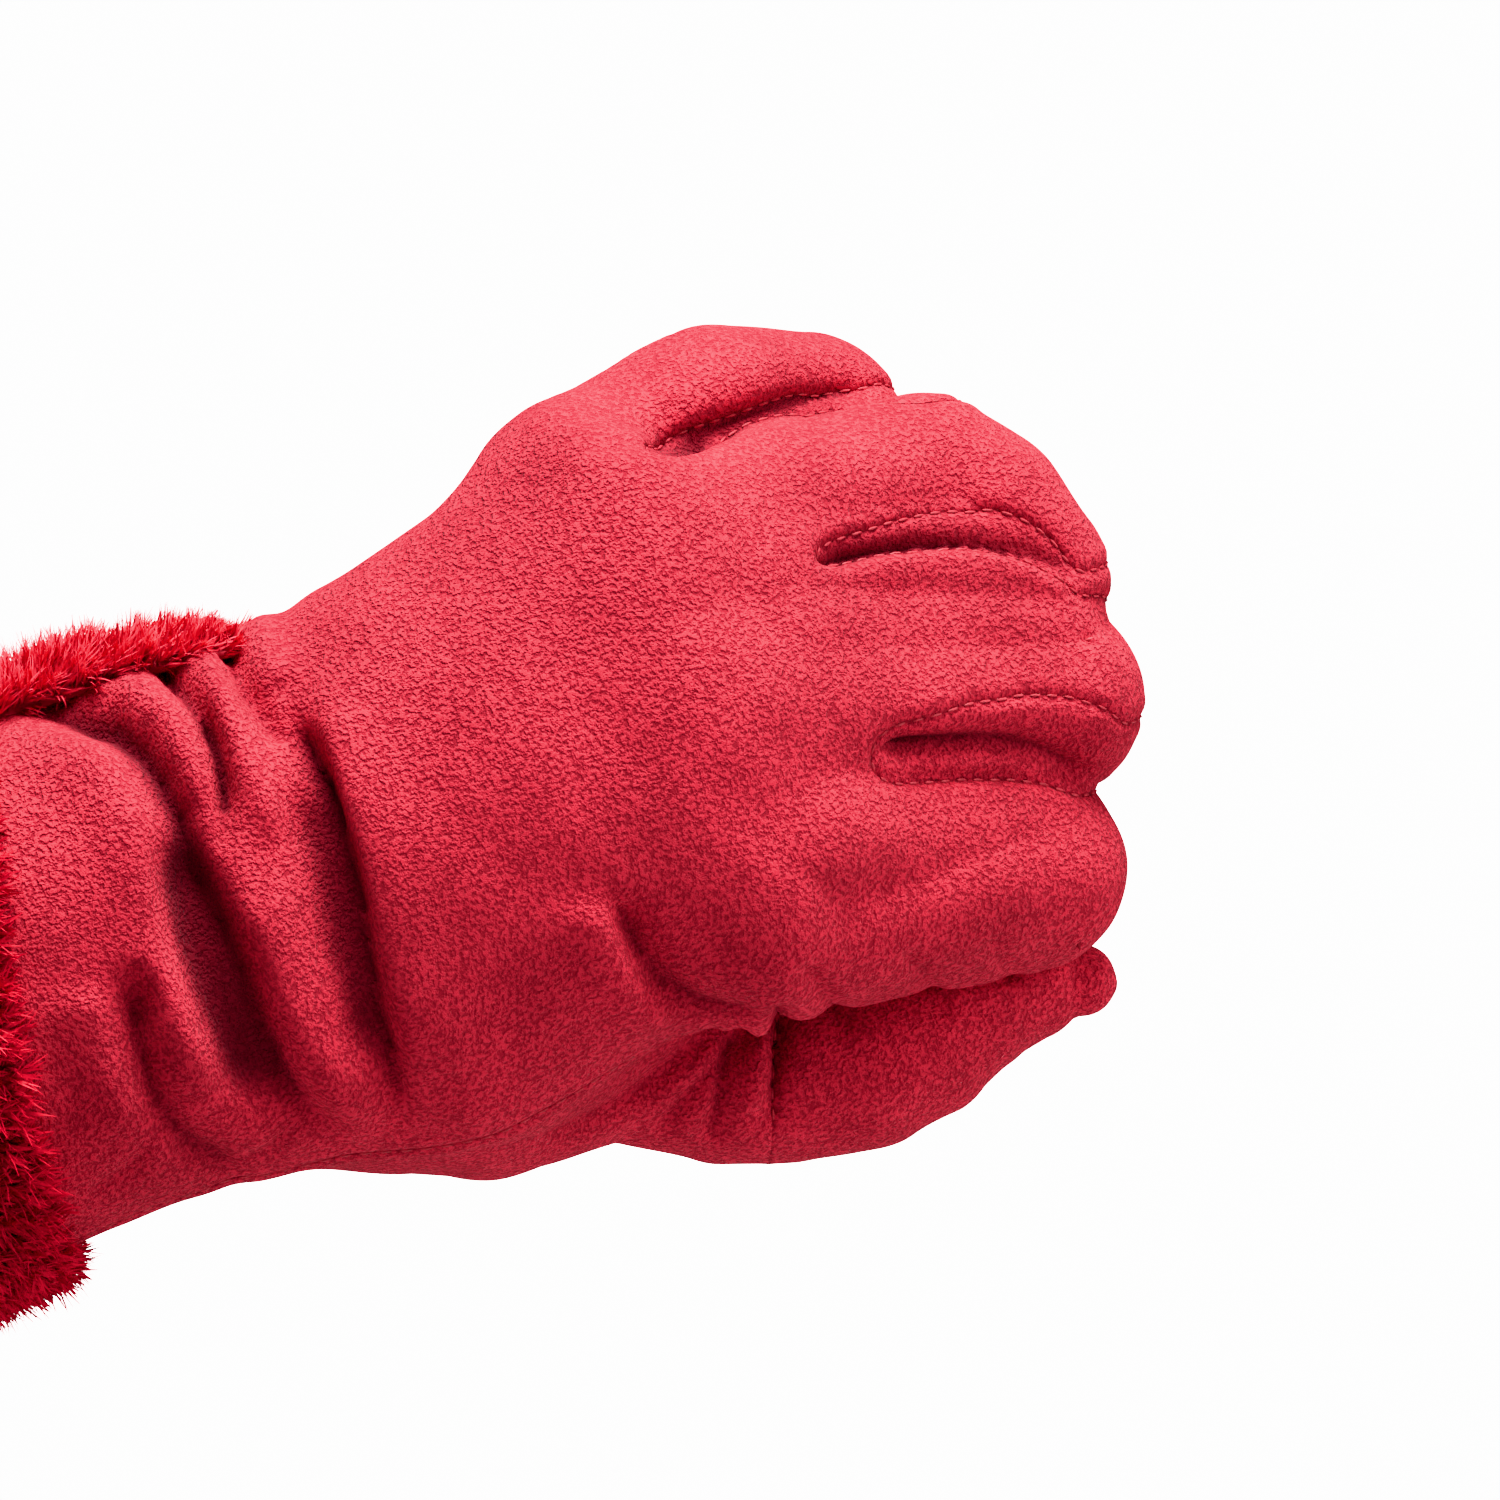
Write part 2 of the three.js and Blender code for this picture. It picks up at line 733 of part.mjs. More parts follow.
// Keeps the one body of a piece, without the crumbs that a cut can leave.
function mainBody(solid) {
  const bodies = solid.decompose();
  return bodies.sort((a, b) => b.volume() - a.volume())[0];
}

// Draws together the two ends of each edge shorter than the limit, where that leaves
// the surface closed.
function closeShortEdges(points, triangles, limit) {
  let kept = triangles;
  const isShort = (a, b) => a !== b && points[a].distanceTo(points[b]) < limit;
  const neighbours = (n) => new Set(kept.filter((face) => face.includes(n)).flat());
  for (const triangle of triangles) {
    for (let side = 0; side < 3; side += 1) {
      const [a, b] = [triangle[side], triangle[(side + 1) % 3]];
      if (isShort(a, b) && kept.some((face) => face.includes(a) && face.includes(b))) {
        const around = neighbours(b);
        const shared = [...neighbours(a)].filter((n) => n !== a && n !== b && around.has(n));
        if (shared.length === 2) {
          kept = kept.filter((face) => !(face.includes(a) && face.includes(b)));
          kept = kept.map((face) => face.map((n) => (n === b ? a : n)));
        }
      }
    }
  }
  return kept;
}

function meshFrom(name, solid, material) {
  const { vertProperties, triVerts } = solid.getMesh();
  const points = [];
  for (let i = 0; i < vertProperties.length; i += 3) {
    points.push(new THREE.Vector3().fromArray(vertProperties, i));
  }
  const triangles = [];
  for (let i = 0; i < triVerts.length; i += 3) {
    triangles.push([...triVerts.slice(i, i + 3)]);
  }
  const geometry = new THREE.BufferGeometry().setFromPoints(points);
  geometry.setIndex(closeShortEdges(points, triangles, shortestEdge).flat());
  geometry.computeVertexNormals();
  const mesh = new THREE.Mesh(geometry, material);
  mesh.name = name;
  return mesh;
}

const fleeceRed = 0xc42a3c;
const plushRed = 0xc01828;
const fleece = new THREE.MeshStandardMaterial({ color: fleeceRed, roughness: 0.95, metalness: 0 });
const plush = new THREE.MeshStandardMaterial({ color: plushRed, roughness: 0.9, metalness: 0 });

const glove = new THREE.Group();
for (const [name, solid] of Object.entries(pieces)) {
  glove.add(meshFrom(name, mainBody(solid), name.startsWith('fur') ? plush : fleece));
}

export default glove;
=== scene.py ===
import math

import bpy
import numpy as np
from mathutils import Matrix, Vector
from mathutils.kdtree import KDTree


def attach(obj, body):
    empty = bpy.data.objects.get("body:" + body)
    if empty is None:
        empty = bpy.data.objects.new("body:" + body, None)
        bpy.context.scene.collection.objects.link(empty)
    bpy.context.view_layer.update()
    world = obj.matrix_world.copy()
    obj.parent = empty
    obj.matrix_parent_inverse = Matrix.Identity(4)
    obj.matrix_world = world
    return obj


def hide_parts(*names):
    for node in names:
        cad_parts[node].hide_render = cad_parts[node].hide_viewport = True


# A left-hand fleece glove that keeps the form of a loose fist. The frame is in metres, and
# the sizes here are in millimetres until a mesh is made. +X runs to the knuckles, +Z to the
# little finger, and the back of the hand faces -Y.
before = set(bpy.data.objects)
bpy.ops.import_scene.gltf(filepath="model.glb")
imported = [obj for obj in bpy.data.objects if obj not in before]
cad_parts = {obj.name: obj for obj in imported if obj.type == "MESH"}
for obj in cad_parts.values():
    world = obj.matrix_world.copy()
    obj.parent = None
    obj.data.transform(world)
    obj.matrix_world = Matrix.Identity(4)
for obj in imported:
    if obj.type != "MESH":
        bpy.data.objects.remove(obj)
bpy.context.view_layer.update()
metresPerMm = 0.001
seed = 7

# What a user may change about the fleece form.
gloveForm = {
    "cell": 0.92,  # size of the mesh's faces
    "quickCell": 1.25,
    "gridLow": (-57.0, -36.0, -64.0),  # the box that is searched for the surface
    "gridHigh": (127.0, 63.0, 63.0),
    "wall": 3.0,  # fleece and lining together
    "digitBlend": 8.0,  # how softly a finger runs into the hand
    "frontBlend": 10.0,
    "cuffEnd": -52.0,
    "seamRounds": 12,  # how often a seam is smoothed along itself
    "swells": ((26, 9, 0.22), (9, 12, 0.09)),  # wavelength, number and height of soft waves
    "creaseFade": 0.18,  # share of a crease's path in which it begins and ends
    "ridgeFade": 0.2,
    "creaseRound": 0.6,  # how wide a crease is at its bottom
    "creaseTaper": 0.5,  # share of its depth that a crease loses towards its end
    "grooveDepth": 0.34,  # how far a seam is pulled in
    "grooveWidth": 0.75,
    "pipeRise": 0.14,  # the cloth that stands up beside a seam
    "pipeWidth": 1.0,
    "pipeAway": 1.9,
    "seamRunsOut": (-56, -44),  # heights between which the thumb's seam fades away
    "plainAway": 3.0,  # what plain cloth there adds to the distance from a seam
    "stitchedAbove": -50,
}


def readTable(columns, rows):
    return {name: np.array([row[i] for row in rows], float) for i, name in enumerate(columns)}


# Sections of the cuff and hand across X: centre and half size in depth (Y) and height (Z).
sections = readTable(
    ("x", "depthMid", "heightMid", "halfDepth", "halfHeight", "squareness"),
    [
        (-80, 2.0, -4.5, 30.5, 33.5, 2.2),
        (-60, 2.0, -4.0, 30.0, 34.0, 2.2),
        (-40, 1.0, -3.0, 28.5, 34.5, 2.2),
        (-25, 0.5, -1.3, 27.5, 35.0, 2.2),
        (-10, 0.0, -1.5, 26.0, 35.6, 2.2),
        (2, 0.0, -2.4, 24.5, 36.0, 2.15),
        (11, 0.0, -3.8, 23.4, 37.0, 2.1),
        (19, -0.5, -3.4, 24.6, 38.8, 1.9),
        (32, -1.0, 0.0, 25.0, 39.2, 1.85),
        (48, -1.0, 4.2, 23.6, 39.6, 2.0),
        (64, -1.0, 6.7, 21.0, 43.0, 2.3),
        (76, 4.0, 6.5, 17.0, 42.0, 2.6),
        (92, 13.0, 5.0, 13.0, 38.0, 2.5),
    ],
)

# Where the hand ends and the fingers go on alone, along the height.
handFront = readTable(
    ("height", "x"),
    [(-60, 56), (-38, 62), (-9, 83), (19, 85), (40, 68), (54, 56), (70, 50)],
)

# Each digit is a chain of round joints, from the hand to the tip. A flank is a second bar
# that makes a finger's back wider.
digitJoints = {
    # X, Y, Z and radius of each joint
    "index": [(62, -1, -23, 15), (97.8, 21, -29, 14.1), (81, 41, -25, 12.5), (62, 36, -20, 10)],
    "indexFlank": [(70, 0, -17, 14.4), (97.5, 21, -23.4, 13.4)],
    "middle": [(66, -4, 4, 15.5), (106.9, 22, -8, 14.1), (87, 44, -7, 12.5), (66, 38, -5, 10.5)],
    "ring": [
        (64, -2, 26, 15), (101, 21, 24.2, 12.7), (105.7, 21.6, 17.4, 13.4), (108.2, 22, 9, 13.7),
        (88, 44, 9, 12), (67, 38, 8, 10),
    ],
    "ringFlank": [(72, 0, 20, 13), (108, 22, 9, 13.7)],
    "middleFlank": [(72, -0.5, 9, 14), (105.6, 21, 1.5, 13.5)],
    "little": [
        (56, 6, 36.2, 13.8), (76.5, 18.5, 40.1, 14), (88.8, 29, 37.2, 12.6), (77, 45, 27, 11),
        (63, 39, 21, 9.5),
    ],
    "thumb": [
        (10, 11, -27, 15.4), (21, 14, -29.6, 17.4), (38, 20, -33.4, 14.2), (50, 26, -42.6, 12.6),
        (60, 28, -45.2, 13), (69, 28.8, -46.6, 13.2), (77, 29.4, -45.8, 12.3),
        (85, 30.5, -44, 10.7), (93.5, 32, -43.6, 8.6), (100.6, 32, -46, 5), (102.6, 32, -47, 3),
    ],
}
digits = {
    name: readTable(("x", "y", "z", "radius"), joints) for name, joints in digitJoints.items()
}


# A smooth curve through one column of a table.
def curveThrough(table, key, column, values):
    keys = table[key]
    heights = table[column]
    slopes = np.empty(len(keys))
    slopes[1:-1] = (heights[2:] - heights[:-2]) / (keys[2:] - keys[:-2])
    slopes[0] = (heights[1] - heights[0]) / (keys[1] - keys[0])
    slopes[-1] = (heights[-1] - heights[-2]) / (keys[-1] - keys[-2])
    value = np.clip(values, keys[0], keys[-1])
    i = np.clip(np.searchsorted(keys, value) - 1, 0, len(keys) - 2)
    span = keys[i + 1] - keys[i]
    t = (value - keys[i]) / span
    return (
        (2 * t**3 - 3 * t**2 + 1) * heights[i]
        + (t**3 - 2 * t**2 + t) * span * slopes[i]
        + (3 * t**2 - 2 * t**3) * heights[i + 1]
        + (t**3 - t**2) * span * slopes[i + 1]
    )


def smoothMin(a, b, blend):
    overlap = np.maximum(blend - np.abs(a - b), 0) / blend
    return np.minimum(a, b) - overlap * overlap * blend * 0.25


def smoothStep(low, high, values):
    t = np.clip((values - low) / (high - low), 0, 1)
    return t * t * (3 - 2 * t)


def sectionAt(x):
    return {name: curveThrough(sections, "x", name, x) for name in sections if name != "x"}


# Distance from the surface of the cuff and hand, less than zero inside.
def handDistance(x, y, z):
    at = sectionAt(x)
    depth = y - at["depthMid"]
    height = z - at["heightMid"]
    power = at["squareness"]
    reach = np.sqrt(depth**2 + height**2)
    share = (
        np.abs(depth / at["halfDepth"]) ** power + np.abs(height / at["halfHeight"]) ** power
    ) ** (1 / power)
    side = reach - reach / np.maximum(share, 1e-4)
    front = x - curveThrough(handFront, "height", "x", z)
    return -smoothMin(-side, -front, gloveForm["frontBlend"])


# Distance from the nearest of the tapered round bars between a digit's joints.
def digitDistance(x, y, z, chains):
    nearest = np.full(np.broadcast(x, y, z).shape, 1e3, np.float32)
    for chain in chains:
        for i in range(len(chain["x"]) - 1):
            start = [chain[axis][i] for axis in "xyz"]
            along = [chain[axis][i + 1] - chain[axis][i] for axis in "xyz"]
            away = [x - start[0], y - start[1], z - start[2]]
            lengthSquared = sum(a * a for a in along)
            t = np.clip(sum(a * b for a, b in zip(away, along)) / lengthSquared, 0, 1)
            radius = chain["radius"][i] + (chain["radius"][i + 1] - chain["radius"][i]) * t
            gap = np.sqrt(sum((a - b * t) ** 2 for a, b in zip(away, along))) - radius
            nearest = np.minimum(nearest, gap)
    return nearest


def formDistance(x, y, z):
    fingers = digitDistance(x, y, z, digits.values())
    return smoothMin(handDistance(x, y, z), fingers, gloveForm["digitBlend"])


# Meshes the zero surface of values on a grid, with one point in each cell that it crosses.
def surfaceNet(values, low, cell):
    inside = values < 0
    size = [n - 1 for n in values.shape]
    corners = [(a, b, c) for a in (0, 1) for b in (0, 1) for c in (0, 1)]

    def cornerOf(grid, corner):
        return grid[tuple(slice(o, o + n) for o, n in zip(corner, size))]

    count = sum(cornerOf(inside, corner).astype(np.int8) for corner in corners)
    active = np.nonzero((count > 0) & (count < 8))
    number = np.full(size, -1, np.int64)
    number[active] = np.arange(len(active[0]))
    place = np.zeros((len(active[0]), 3))
    crossings = np.zeros(len(active[0]))
    for start in corners:
        for axis in range(3):
            if start[axis]:
                continue
            end = tuple(1 if i == axis else o for i, o in enumerate(start))
            startValue = cornerOf(values, start)[active]
            endValue = cornerOf(values, end)[active]
            crossed = (startValue < 0) != (endValue < 0)
            share = np.where(crossed, startValue / np.where(crossed, startValue - endValue, 1), 0)
            point = np.array(start, float) + np.outer(share, np.eye(3)[axis])
            place += point * crossed[:, None]
            crossings += crossed
    points = (np.stack(active, 1) + place / crossings[:, None]) * cell + low
    quads = []
    for axis in range(3):
        second, third = (axis + 1) % 3, (axis + 2) % 3
        near = [slice(None)] * 3
        far = [slice(None)] * 3
        near[axis], far[axis] = slice(0, -1), slice(1, None)
        crossed = inside[tuple(near)] != inside[tuple(far)]
        at = np.stack(np.nonzero(crossed), 1)
        inner = (at[:, second] > 0) & (at[:, third] > 0)
        inner &= (at[:, second] < size[second]) & (at[:, third] < size[third])
        at = at[inner]
        ring = []
        for b, c in ((0, 0), (1, 0), (1, 1), (0, 1)):
            owner = at.copy()
            owner[:, second] -= b
            owner[:, third] -= c
            ring.append(number[tuple(owner.T)])
        ring = np.stack(ring, 1)
        startsInside = inside[tuple(at.T)]
        quads.append(np.where(startsInside[:, None], ring, ring[:, ::-1]))
    return points, np.concatenate(quads)


def gradientAt(points, distance, probe=0.3):
    x, y, z = points.T
    slope = np.stack([
        distance(x + probe, y, z) - distance(x - probe, y, z),
        distance(x, y + probe, z) - distance(x, y - probe, z),
        distance(x, y, z + probe) - distance(x, y, z - probe),
    ], 1)
    return slope / (2 * probe)


# Moves points onto the zero surface by short steps along its slope.
def settle(points, distance, steps, reach):
    for step in range(steps):
        slope = gradientAt(points, distance)
        size = np.maximum(np.linalg.norm(slope, axis=1), 0.3)
        move = np.clip(-distance(*points.T) / size, -reach, reach)
        points = points + slope / size[:, None] * move[:, None]
    return points


def sumAt(index, rows, count):
    return np.stack([np.bincount(index, rows[:, i], count) for i in range(rows.shape[1])], 1)


def sidesOf(quads):
    return np.concatenate([quads[:, [i, (i + 1) % 4]] for i in range(4)])


def edgesOf(quads):
    return np.unique(np.sort(sidesOf(quads), 1), axis=0)


# Draws each free point towards the middle of its neighbours.
def relax(points, edges, share, free=None):
    count = len(points)
    total = sumAt(edges[:, 0], points[edges[:, 1]], count)
    total += sumAt(edges[:, 1], points[edges[:, 0]], count)
    degree = np.bincount(edges.ravel(), minlength=count)
    middle = total / np.maximum(degree, 1)[:, None]
    moved = points + (middle - points) * share
    return moved if free is None else np.where(free[:, None], moved, points)


def normalsOf(points, quads):
    corner = points[quads]
    across = np.cross(corner[:, 2] - corner[:, 0], corner[:, 3] - corner[:, 1])
    total = np.zeros((len(points), 3))
    for i in range(4):
        total += sumAt(quads[:, i], across, len(points))
    return total / np.maximum(np.linalg.norm(total, axis=1), 1e-9)[:, None]


# Distance in X and Z from a path, and how far along it the nearest place is, from 0 to 1.
def pathDistance(x, z, path):
    path = np.array(path, float)
    lengths = np.linalg.norm(np.diff(path, axis=0), axis=1)
    before = np.concatenate([[0], np.cumsum(lengths)])
    nearest = np.full(len(x), 1e3)
    side = np.zeros(len(x))
    share = np.zeros(len(x))
    for i, length in enumerate(lengths):
        along = (path[i + 1] - path[i]) / length
        awayX, awayZ = x - path[i][0], z - path[i][1]
        t = np.clip(awayX * along[0] + awayZ * along[1], 0, length)
        gap = np.hypot(awayX - along[0] * t, awayZ - along[1] * t)
        closer = gap < nearest
        nearest = np.where(closer, gap, nearest)
        cross = along[0] * awayZ - along[1] * awayX
        side = np.where(closer, np.sign(cross), side)
        share = np.where(closer, (before[i] + t) / before[-1], share)
    return nearest, side, share


# Creases and ridges that show from the back of the hand, along paths in X and Z. A path runs
# towards the thumb or the knuckles, and its profile reaches its own way to each side.
backCreases = [
    # depth, reach to the wrist side, reach to the knuckle side, path
    (10.0, 6.5, 2.2, [
        (10.4, 24), (12.2, 20), (13.2, 15), (13.6, 9), (13.2, 0), (12.4, -8), (11.6, -16),
        (10.8, -25), (9.8, -32), (8, -38),
    ]),
    (9.0, 3.6, 2.6, [(4.6, 35), (5.8, 31.5), (6.6, 27), (7.8, 23), (9.6, 18.6), (10.6, 16)]),
    (9.5, 9.5, 4.0, [
        (-26, 34.5), (-17, 32), (-11, 28), (-8.2, 23.5), (-6.6, 18.5), (-5.7, 13), (-6, 8),
        (-5.6, 3), (-4.8, -3), (-4.3, -9), (-4.2, -16), (-4, -23), (-2.6, -29), (-0.4, -34),
        (2, -38.5),
    ]),
    (12.0, 2.6, 2.4, [
        (-6, 35.5), (-3.4, 33.4), (-1.2, 29), (0.6, 24.5), (1.1, 20), (0.6, 15), (-0.8, 10),
        (-3.4, 5),
    ]),
    (7.6, 4.5, 6.5, [
        (-18, -3), (-19.2, -8), (-20.4, -13), (-21, -20), (-20.4, -26), (-18.6, -30.5),
        (-15, -34.5), (-12, -37),
    ]),
    (3.2, 2.4, 2.4, [(-34, -31.2), (-29, -30.5), (-25, -28.5), (-22, -25)]),
    (4.0, 2.2, 2.8, [(-2.6, -28.5), (-6, -31.8), (-9.5, -33.6), (-13, -33.4), (-17, -31)]),
    (4.4, 2.4, 3.0, [
        (56, -35.6), (53, -36.2), (47, -38.5), (40, -41.3), (34, -42.8), (28, -43.4), (20, -43),
        (12, -41),
    ]),
    (6.5, 2.6, 3.0, [(57, -37.2), (54, -39), (50, -42), (44, -45.2), (39, -48)]),
    (8.0, 3.2, 3.2, [(55.4, -37), (53.2, -40), (50.4, -44.4), (47, -50), (45.6, -52)]),
    (7.0, 2.2, 4.4, [(61.4, -35), (59.6, -39), (57.4, -44), (55.4, -49), (54.4, -53)]),
    (7.0, 3.0, 6.0, [(44.4, -14), (45, -22), (46.4, -28.5), (49.6, -33), (54, -35.6), (60, -37.4)]),
    (3.6, 3.4, 3.4, [(65.6, -31), (67, -36), (68, -40), (68.4, -44)]),
    (3.0, 3.6, 3.6, [(79, -34), (80.4, -38.4), (81.4, -42), (82, -46)]),
    (2.4, 3.4, 3.4, [(90, -36), (91.4, -40), (92, -44)]),
    (2.6, 3.0, 3.0, [(60, 42.4), (64, 41.8), (68, 40.6)]),
    (4.5, 1.8, 1.8, [(100.2, -14), (102.4, -13), (104.6, -12.2)]),
    (4.5, 1.8, 1.8, [(106.4, -18.8), (108.6, -17.8), (110.8, -17.2)]),
]
backRidges = [
    # height, spread to the wrist side, spread to the knuckle side, path
    (1.5, 1.6, 7.0, [
        (16, 27), (16.6, 15), (16.4, 5), (15.6, -5), (14.6, -15), (13.6, -25), (12, -35),
    ]),
    (1.6, 3.0, 3.0, [(11, 35), (10.8, 30), (11.6, 24)]),
    (1.8, 2.0, 2.4, [(1, 35.5), (3.2, 31), (4, 26), (3.8, 20), (4.4, 13), (5, 4)]),
    (1.8, 2.6, 4.0, [(1, 4), (-0.4, -4), (-0.4, -14), (0.4, -22), (2.6, -30), (5, -37)]),
    (2.0, 6.0, 2.0, [
        (-24, 33), (-17, 28), (-13, 22), (-11.6, 14), (-13, 6), (-14.4, -4), (-14.4, -16),
        (-14.4, -28),
    ]),
    (-3.8, 2.8, 4.0, [(-7.4, 12), (-9, 4), (-9.6, -4), (-9.6, -14), (-9.2, -22), (-7.6, -30)]),
    (-2.4, 3.4, 2.0, [(9.8, 14), (9.8, 4), (9.0, -8), (8.2, -18), (7.6, -30)]),
    (-2.6, 0.9, 0.9, [(0.2, 26), (1.1, 20), (0.6, 15), (-0.2, 10)]),
    (1.4, 2.2, 2.0, [(-12, 33), (-6, 30), (-3.4, 24), (-3.4, 17), (-4.2, 12)]),
    (1.2, 4.0, 2.4, [(-25, -4), (-26, -14), (-25.6, -20), (-25.4, -26)]),
    (1.6, 1.8, 1.6, [(58, -37.5), (55, -43), (52.6, -49.5)]),
    (1.4, 4.0, 1.8, [(41, -13), (41.6, -22), (43, -30), (46.5, -35)]),
]

# Creases and ridges of the palm side, the same way.
palmCreases = [
    (4.2, 8.0, 7.0, [(14, 36), (12, 20), (9, 0), (8, -20), (9, -38)]),
    (3.6, 7.0, 7.0, [(-10, 28), (-13, 12), (-14, -6), (-12, -30)]),
    (2.4, 5.0, 6.0, [(-27, 24), (-29, 2), (-29, -24)]),
    (3.0, 4.0, 6.0, [(56, 26), (50, 12), (40, -4), (28, -18)]),
    (2.0, 4.0, 5.0, [(38, 20), (32, 6), (25, -8)]),
    (2.4, 3.0, 5.0, [(46, -24), (38, -20), (26, -16)]),
]
palmRidges = [
    (1.4, 3.5, 4.0, [(1, 34), (-2, 14), (-1, -8), (-3, -34)]),
    (1.2, 4.0, 3.0, [(-21, 24), (-22, 2), (-22, -24)]),
]

# The clefts between the fingers turn round a middle line, from the crotch at the back, over
# the knuckles and under the fist to the finger tips. A side strip shows between its upper
# and lower seam, whose paths in X and Z run from the crotch to the front. The rows under
# them go on round the front: turn in degrees, upper Z and lower Z. Crease and sink give the
# fold at the cleft's bottom: its path, and its depth and reach to each side.
clefts = {
    "fourchette_little_ring": {
        "middle": (70, 27),
        "upper": [(68, 41.6), (74, 41.2), (84, 41.2), (94, 40.8), (101, 39.4)],
        "lower": [
            (68, 39.6), (73, 38.7), (80, 39.5), (90, 39.2), (98, 38.4), (103, 37.2), (107, 35),
        ],
        "under": [(40, 34, 28), (90, 23.5, 13.5), (166, 19.5, 9.5)],
        "crease": [
            (65, 41), (68, 40.4), (71, 39.5), (74, 39.4), (80, 40.2), (88, 40.1), (95, 39.6),
            (100, 38.8),
        ],
        "sink": (8.5, 2.8, 7.0),
    },
    "fourchette_ring_middle": {
        "middle": (78.5, 22),
        "upper": [
            (84.5, 20.4), (90, 21.4), (96, 21.2), (104, 20.5), (110, 18.3), (114.5, 14.8),
            (117.3, 10.5), (118.4, 6),
        ],
        "lower": [
            (85, 18), (92, 17.4), (98, 16.7), (104, 15), (108, 13), (112, 10.4), (115, 7.4),
            (117.5, 3.5),
        ],
        "under": [(40, 9, -3), (90, 7, -4.5), (166, 6.5, -3.5)],
        "crease": [
            (82, 18.6), (86, 18), (92, 17.6), (98, 17), (104, 15.3), (108, 13.3), (112, 10.8),
            (115, 7.9), (118, 3),
        ],
        "sink": (9.0, 2.4, 8.0),
    },
    "fourchette_middle_index": {
        "middle": (75.5, 22),
        "upper": [
            (82.4, -9.5), (84, -7), (87, -5.8), (92, -5.6), (100, -5.8), (106, -6.8), (112, -9),
            (116, -12), (118, -15),
        ],
        "lower": [
            (82.4, -9.5), (84.5, -12.3), (88, -13.3), (95, -15), (100, -16.6), (105, -18.8),
            (109, -22),
        ],
        "under": [(50, -12, -22), (90, -10.5, -22.5), (166, -6.5, -18.5)],
        "crease": [
            (82.5, -7.6), (85, -8.4), (90, -9.7), (96, -11.3), (101, -13), (104, -15),
            (107, -17.8), (111, -21),
        ],
        "sink": (9.0, 2.6, 6.0),
    },
}
cleftEnd = 166  # degrees of turn at which the side strips end
cleftCore = 4.5  # mm round the middle line that stay out of them

# The thumb's seam crosses it at a slant, and ends where another digit or the hand is nearer.
thumbSeam = {"x": 59.8, "z": -38.5, "slant": 0.383}

# The seam between back and palm follows each finger's middle line, from the cuff round the
# knuckles, and turns back under the finger's tip.
sidePath = {
    "cuffX": -120,
    "handX": 24,
    "pastTip": [(-10, -3.4), (-70, 8)],
    "passedBy": {"ring": (1, 2)},  # joints that lie off the middle line
}
sideLevels = [
    # height, digit, depth at the wrist
    (-120, "index", -7),
    (-42, "index", -7),
    (-25, "index", -4),
    (-6, "middle", 0),
    (12, "ring", 0),
    (36, "little", 2),
    (120, "little", 2),
]


# The cloth is puffed on both sides of a crease, as where two round rolls meet, so that the
# crease is narrow and its shoulders are round.
def creaseProfile(gap, reach):
    rounded = np.sqrt(gap**2 + gloveForm["creaseRound"] ** 2)
    share = np.clip(1 - rounded / reach, 0, 1)
    return 1 - np.sqrt(1 - share**2)


# Rises from 0 at both ends of a path to 1 within a part of its length.
def endFade(share, part):
    return smoothStep(0, part, share) * smoothStep(0, part, 1 - share)


# How far folds raise the cloth, less than zero in a crease.
def foldLift(points, normals):
    x, y, z = points.T
    towardsBack = 1 - smoothStep(0.2, 0.8, normals[:, 1])  # 1 at the back, 0 at the palm
    clefted = [(*cleft["sink"], cleft["crease"]) for cleft in clefts.values()]
    raised = np.zeros(len(points))
    sunk = np.zeros(len(points))
    for creases, ridges, weight in (
        (backCreases + clefted, backRidges, towardsBack),
        (palmCreases, palmRidges, 1 - towardsBack),
    ):
        for depth, wristReach, knuckleReach, path in creases:
            gap, side, share = pathDistance(x, z, path)
            reach = np.where(side > 0, knuckleReach, wristReach)
            fade = endFade(share, gloveForm["creaseFade"])
            taper = 1 - gloveForm["creaseTaper"] * share
            sunk = np.maximum(sunk, depth * taper * weight * fade * creaseProfile(gap, reach))
        for height, wristSpread, knuckleSpread, path in ridges:
            gap, side, share = pathDistance(x, z, path)
            spread = np.where(side > 0, knuckleSpread, wristSpread)
            fade = endFade(share, gloveForm["ridgeFade"])
            raised += height * weight * fade * np.exp(-((gap / spread) ** 2))
    return raised - sunk


# Soft unevenness from a few waves in random directions.
def unevenness(points, wavelength, count, randoms):
    total = np.zeros(len(points))
    for i in range(count):
        direction = randoms.normal(size=3)
        direction /= np.linalg.norm(direction)
        waves = points @ direction * (2 * math.pi / (wavelength * randoms.uniform(0.7, 1.4)))
        total += np.sin(waves + randoms.uniform(0, 2 * math.pi))
    return total / math.sqrt(count)


# How far a point lies on the back side of the seam, less than zero on the palm side.
def backShare(points):
    levels = []
    for height, name, wristDepth in sideLevels:
        chain = digits[name]
        joints = list(zip(chain["x"], chain["y"]))
        passedBy = sidePath["passedBy"].get(name, ())
        path = [(sidePath["cuffX"], wristDepth), (sidePath["handX"], wristDepth)]
        path += [place for i, place in enumerate(joints) if i not in passedBy]
        path += [(joints[-1][0] + x, joints[-1][1] + y) for x, y in sidePath["pastTip"]]
        gap, side, share = pathDistance(points[:, 0], points[:, 1], path)
        levels.append(-gap * side)
    heights = [row[0] for row in sideLevels]
    i = np.clip(np.searchsorted(heights, points[:, 2]) - 1, 0, len(heights) - 2)
    low = np.take(heights, i)
    t = (points[:, 2] - low) / (np.take(heights, i + 1) - low)
    levels = np.array(levels)
    at = np.arange(len(points))
    return levels[i, at] * (1 - t) + levels[i + 1, at] * t


def turnAt(points, cleft):
    middleX, middleY = cleft["middle"]
    return np.degrees(np.arctan2(points[:, 1] - middleY, points[:, 0] - middleX))


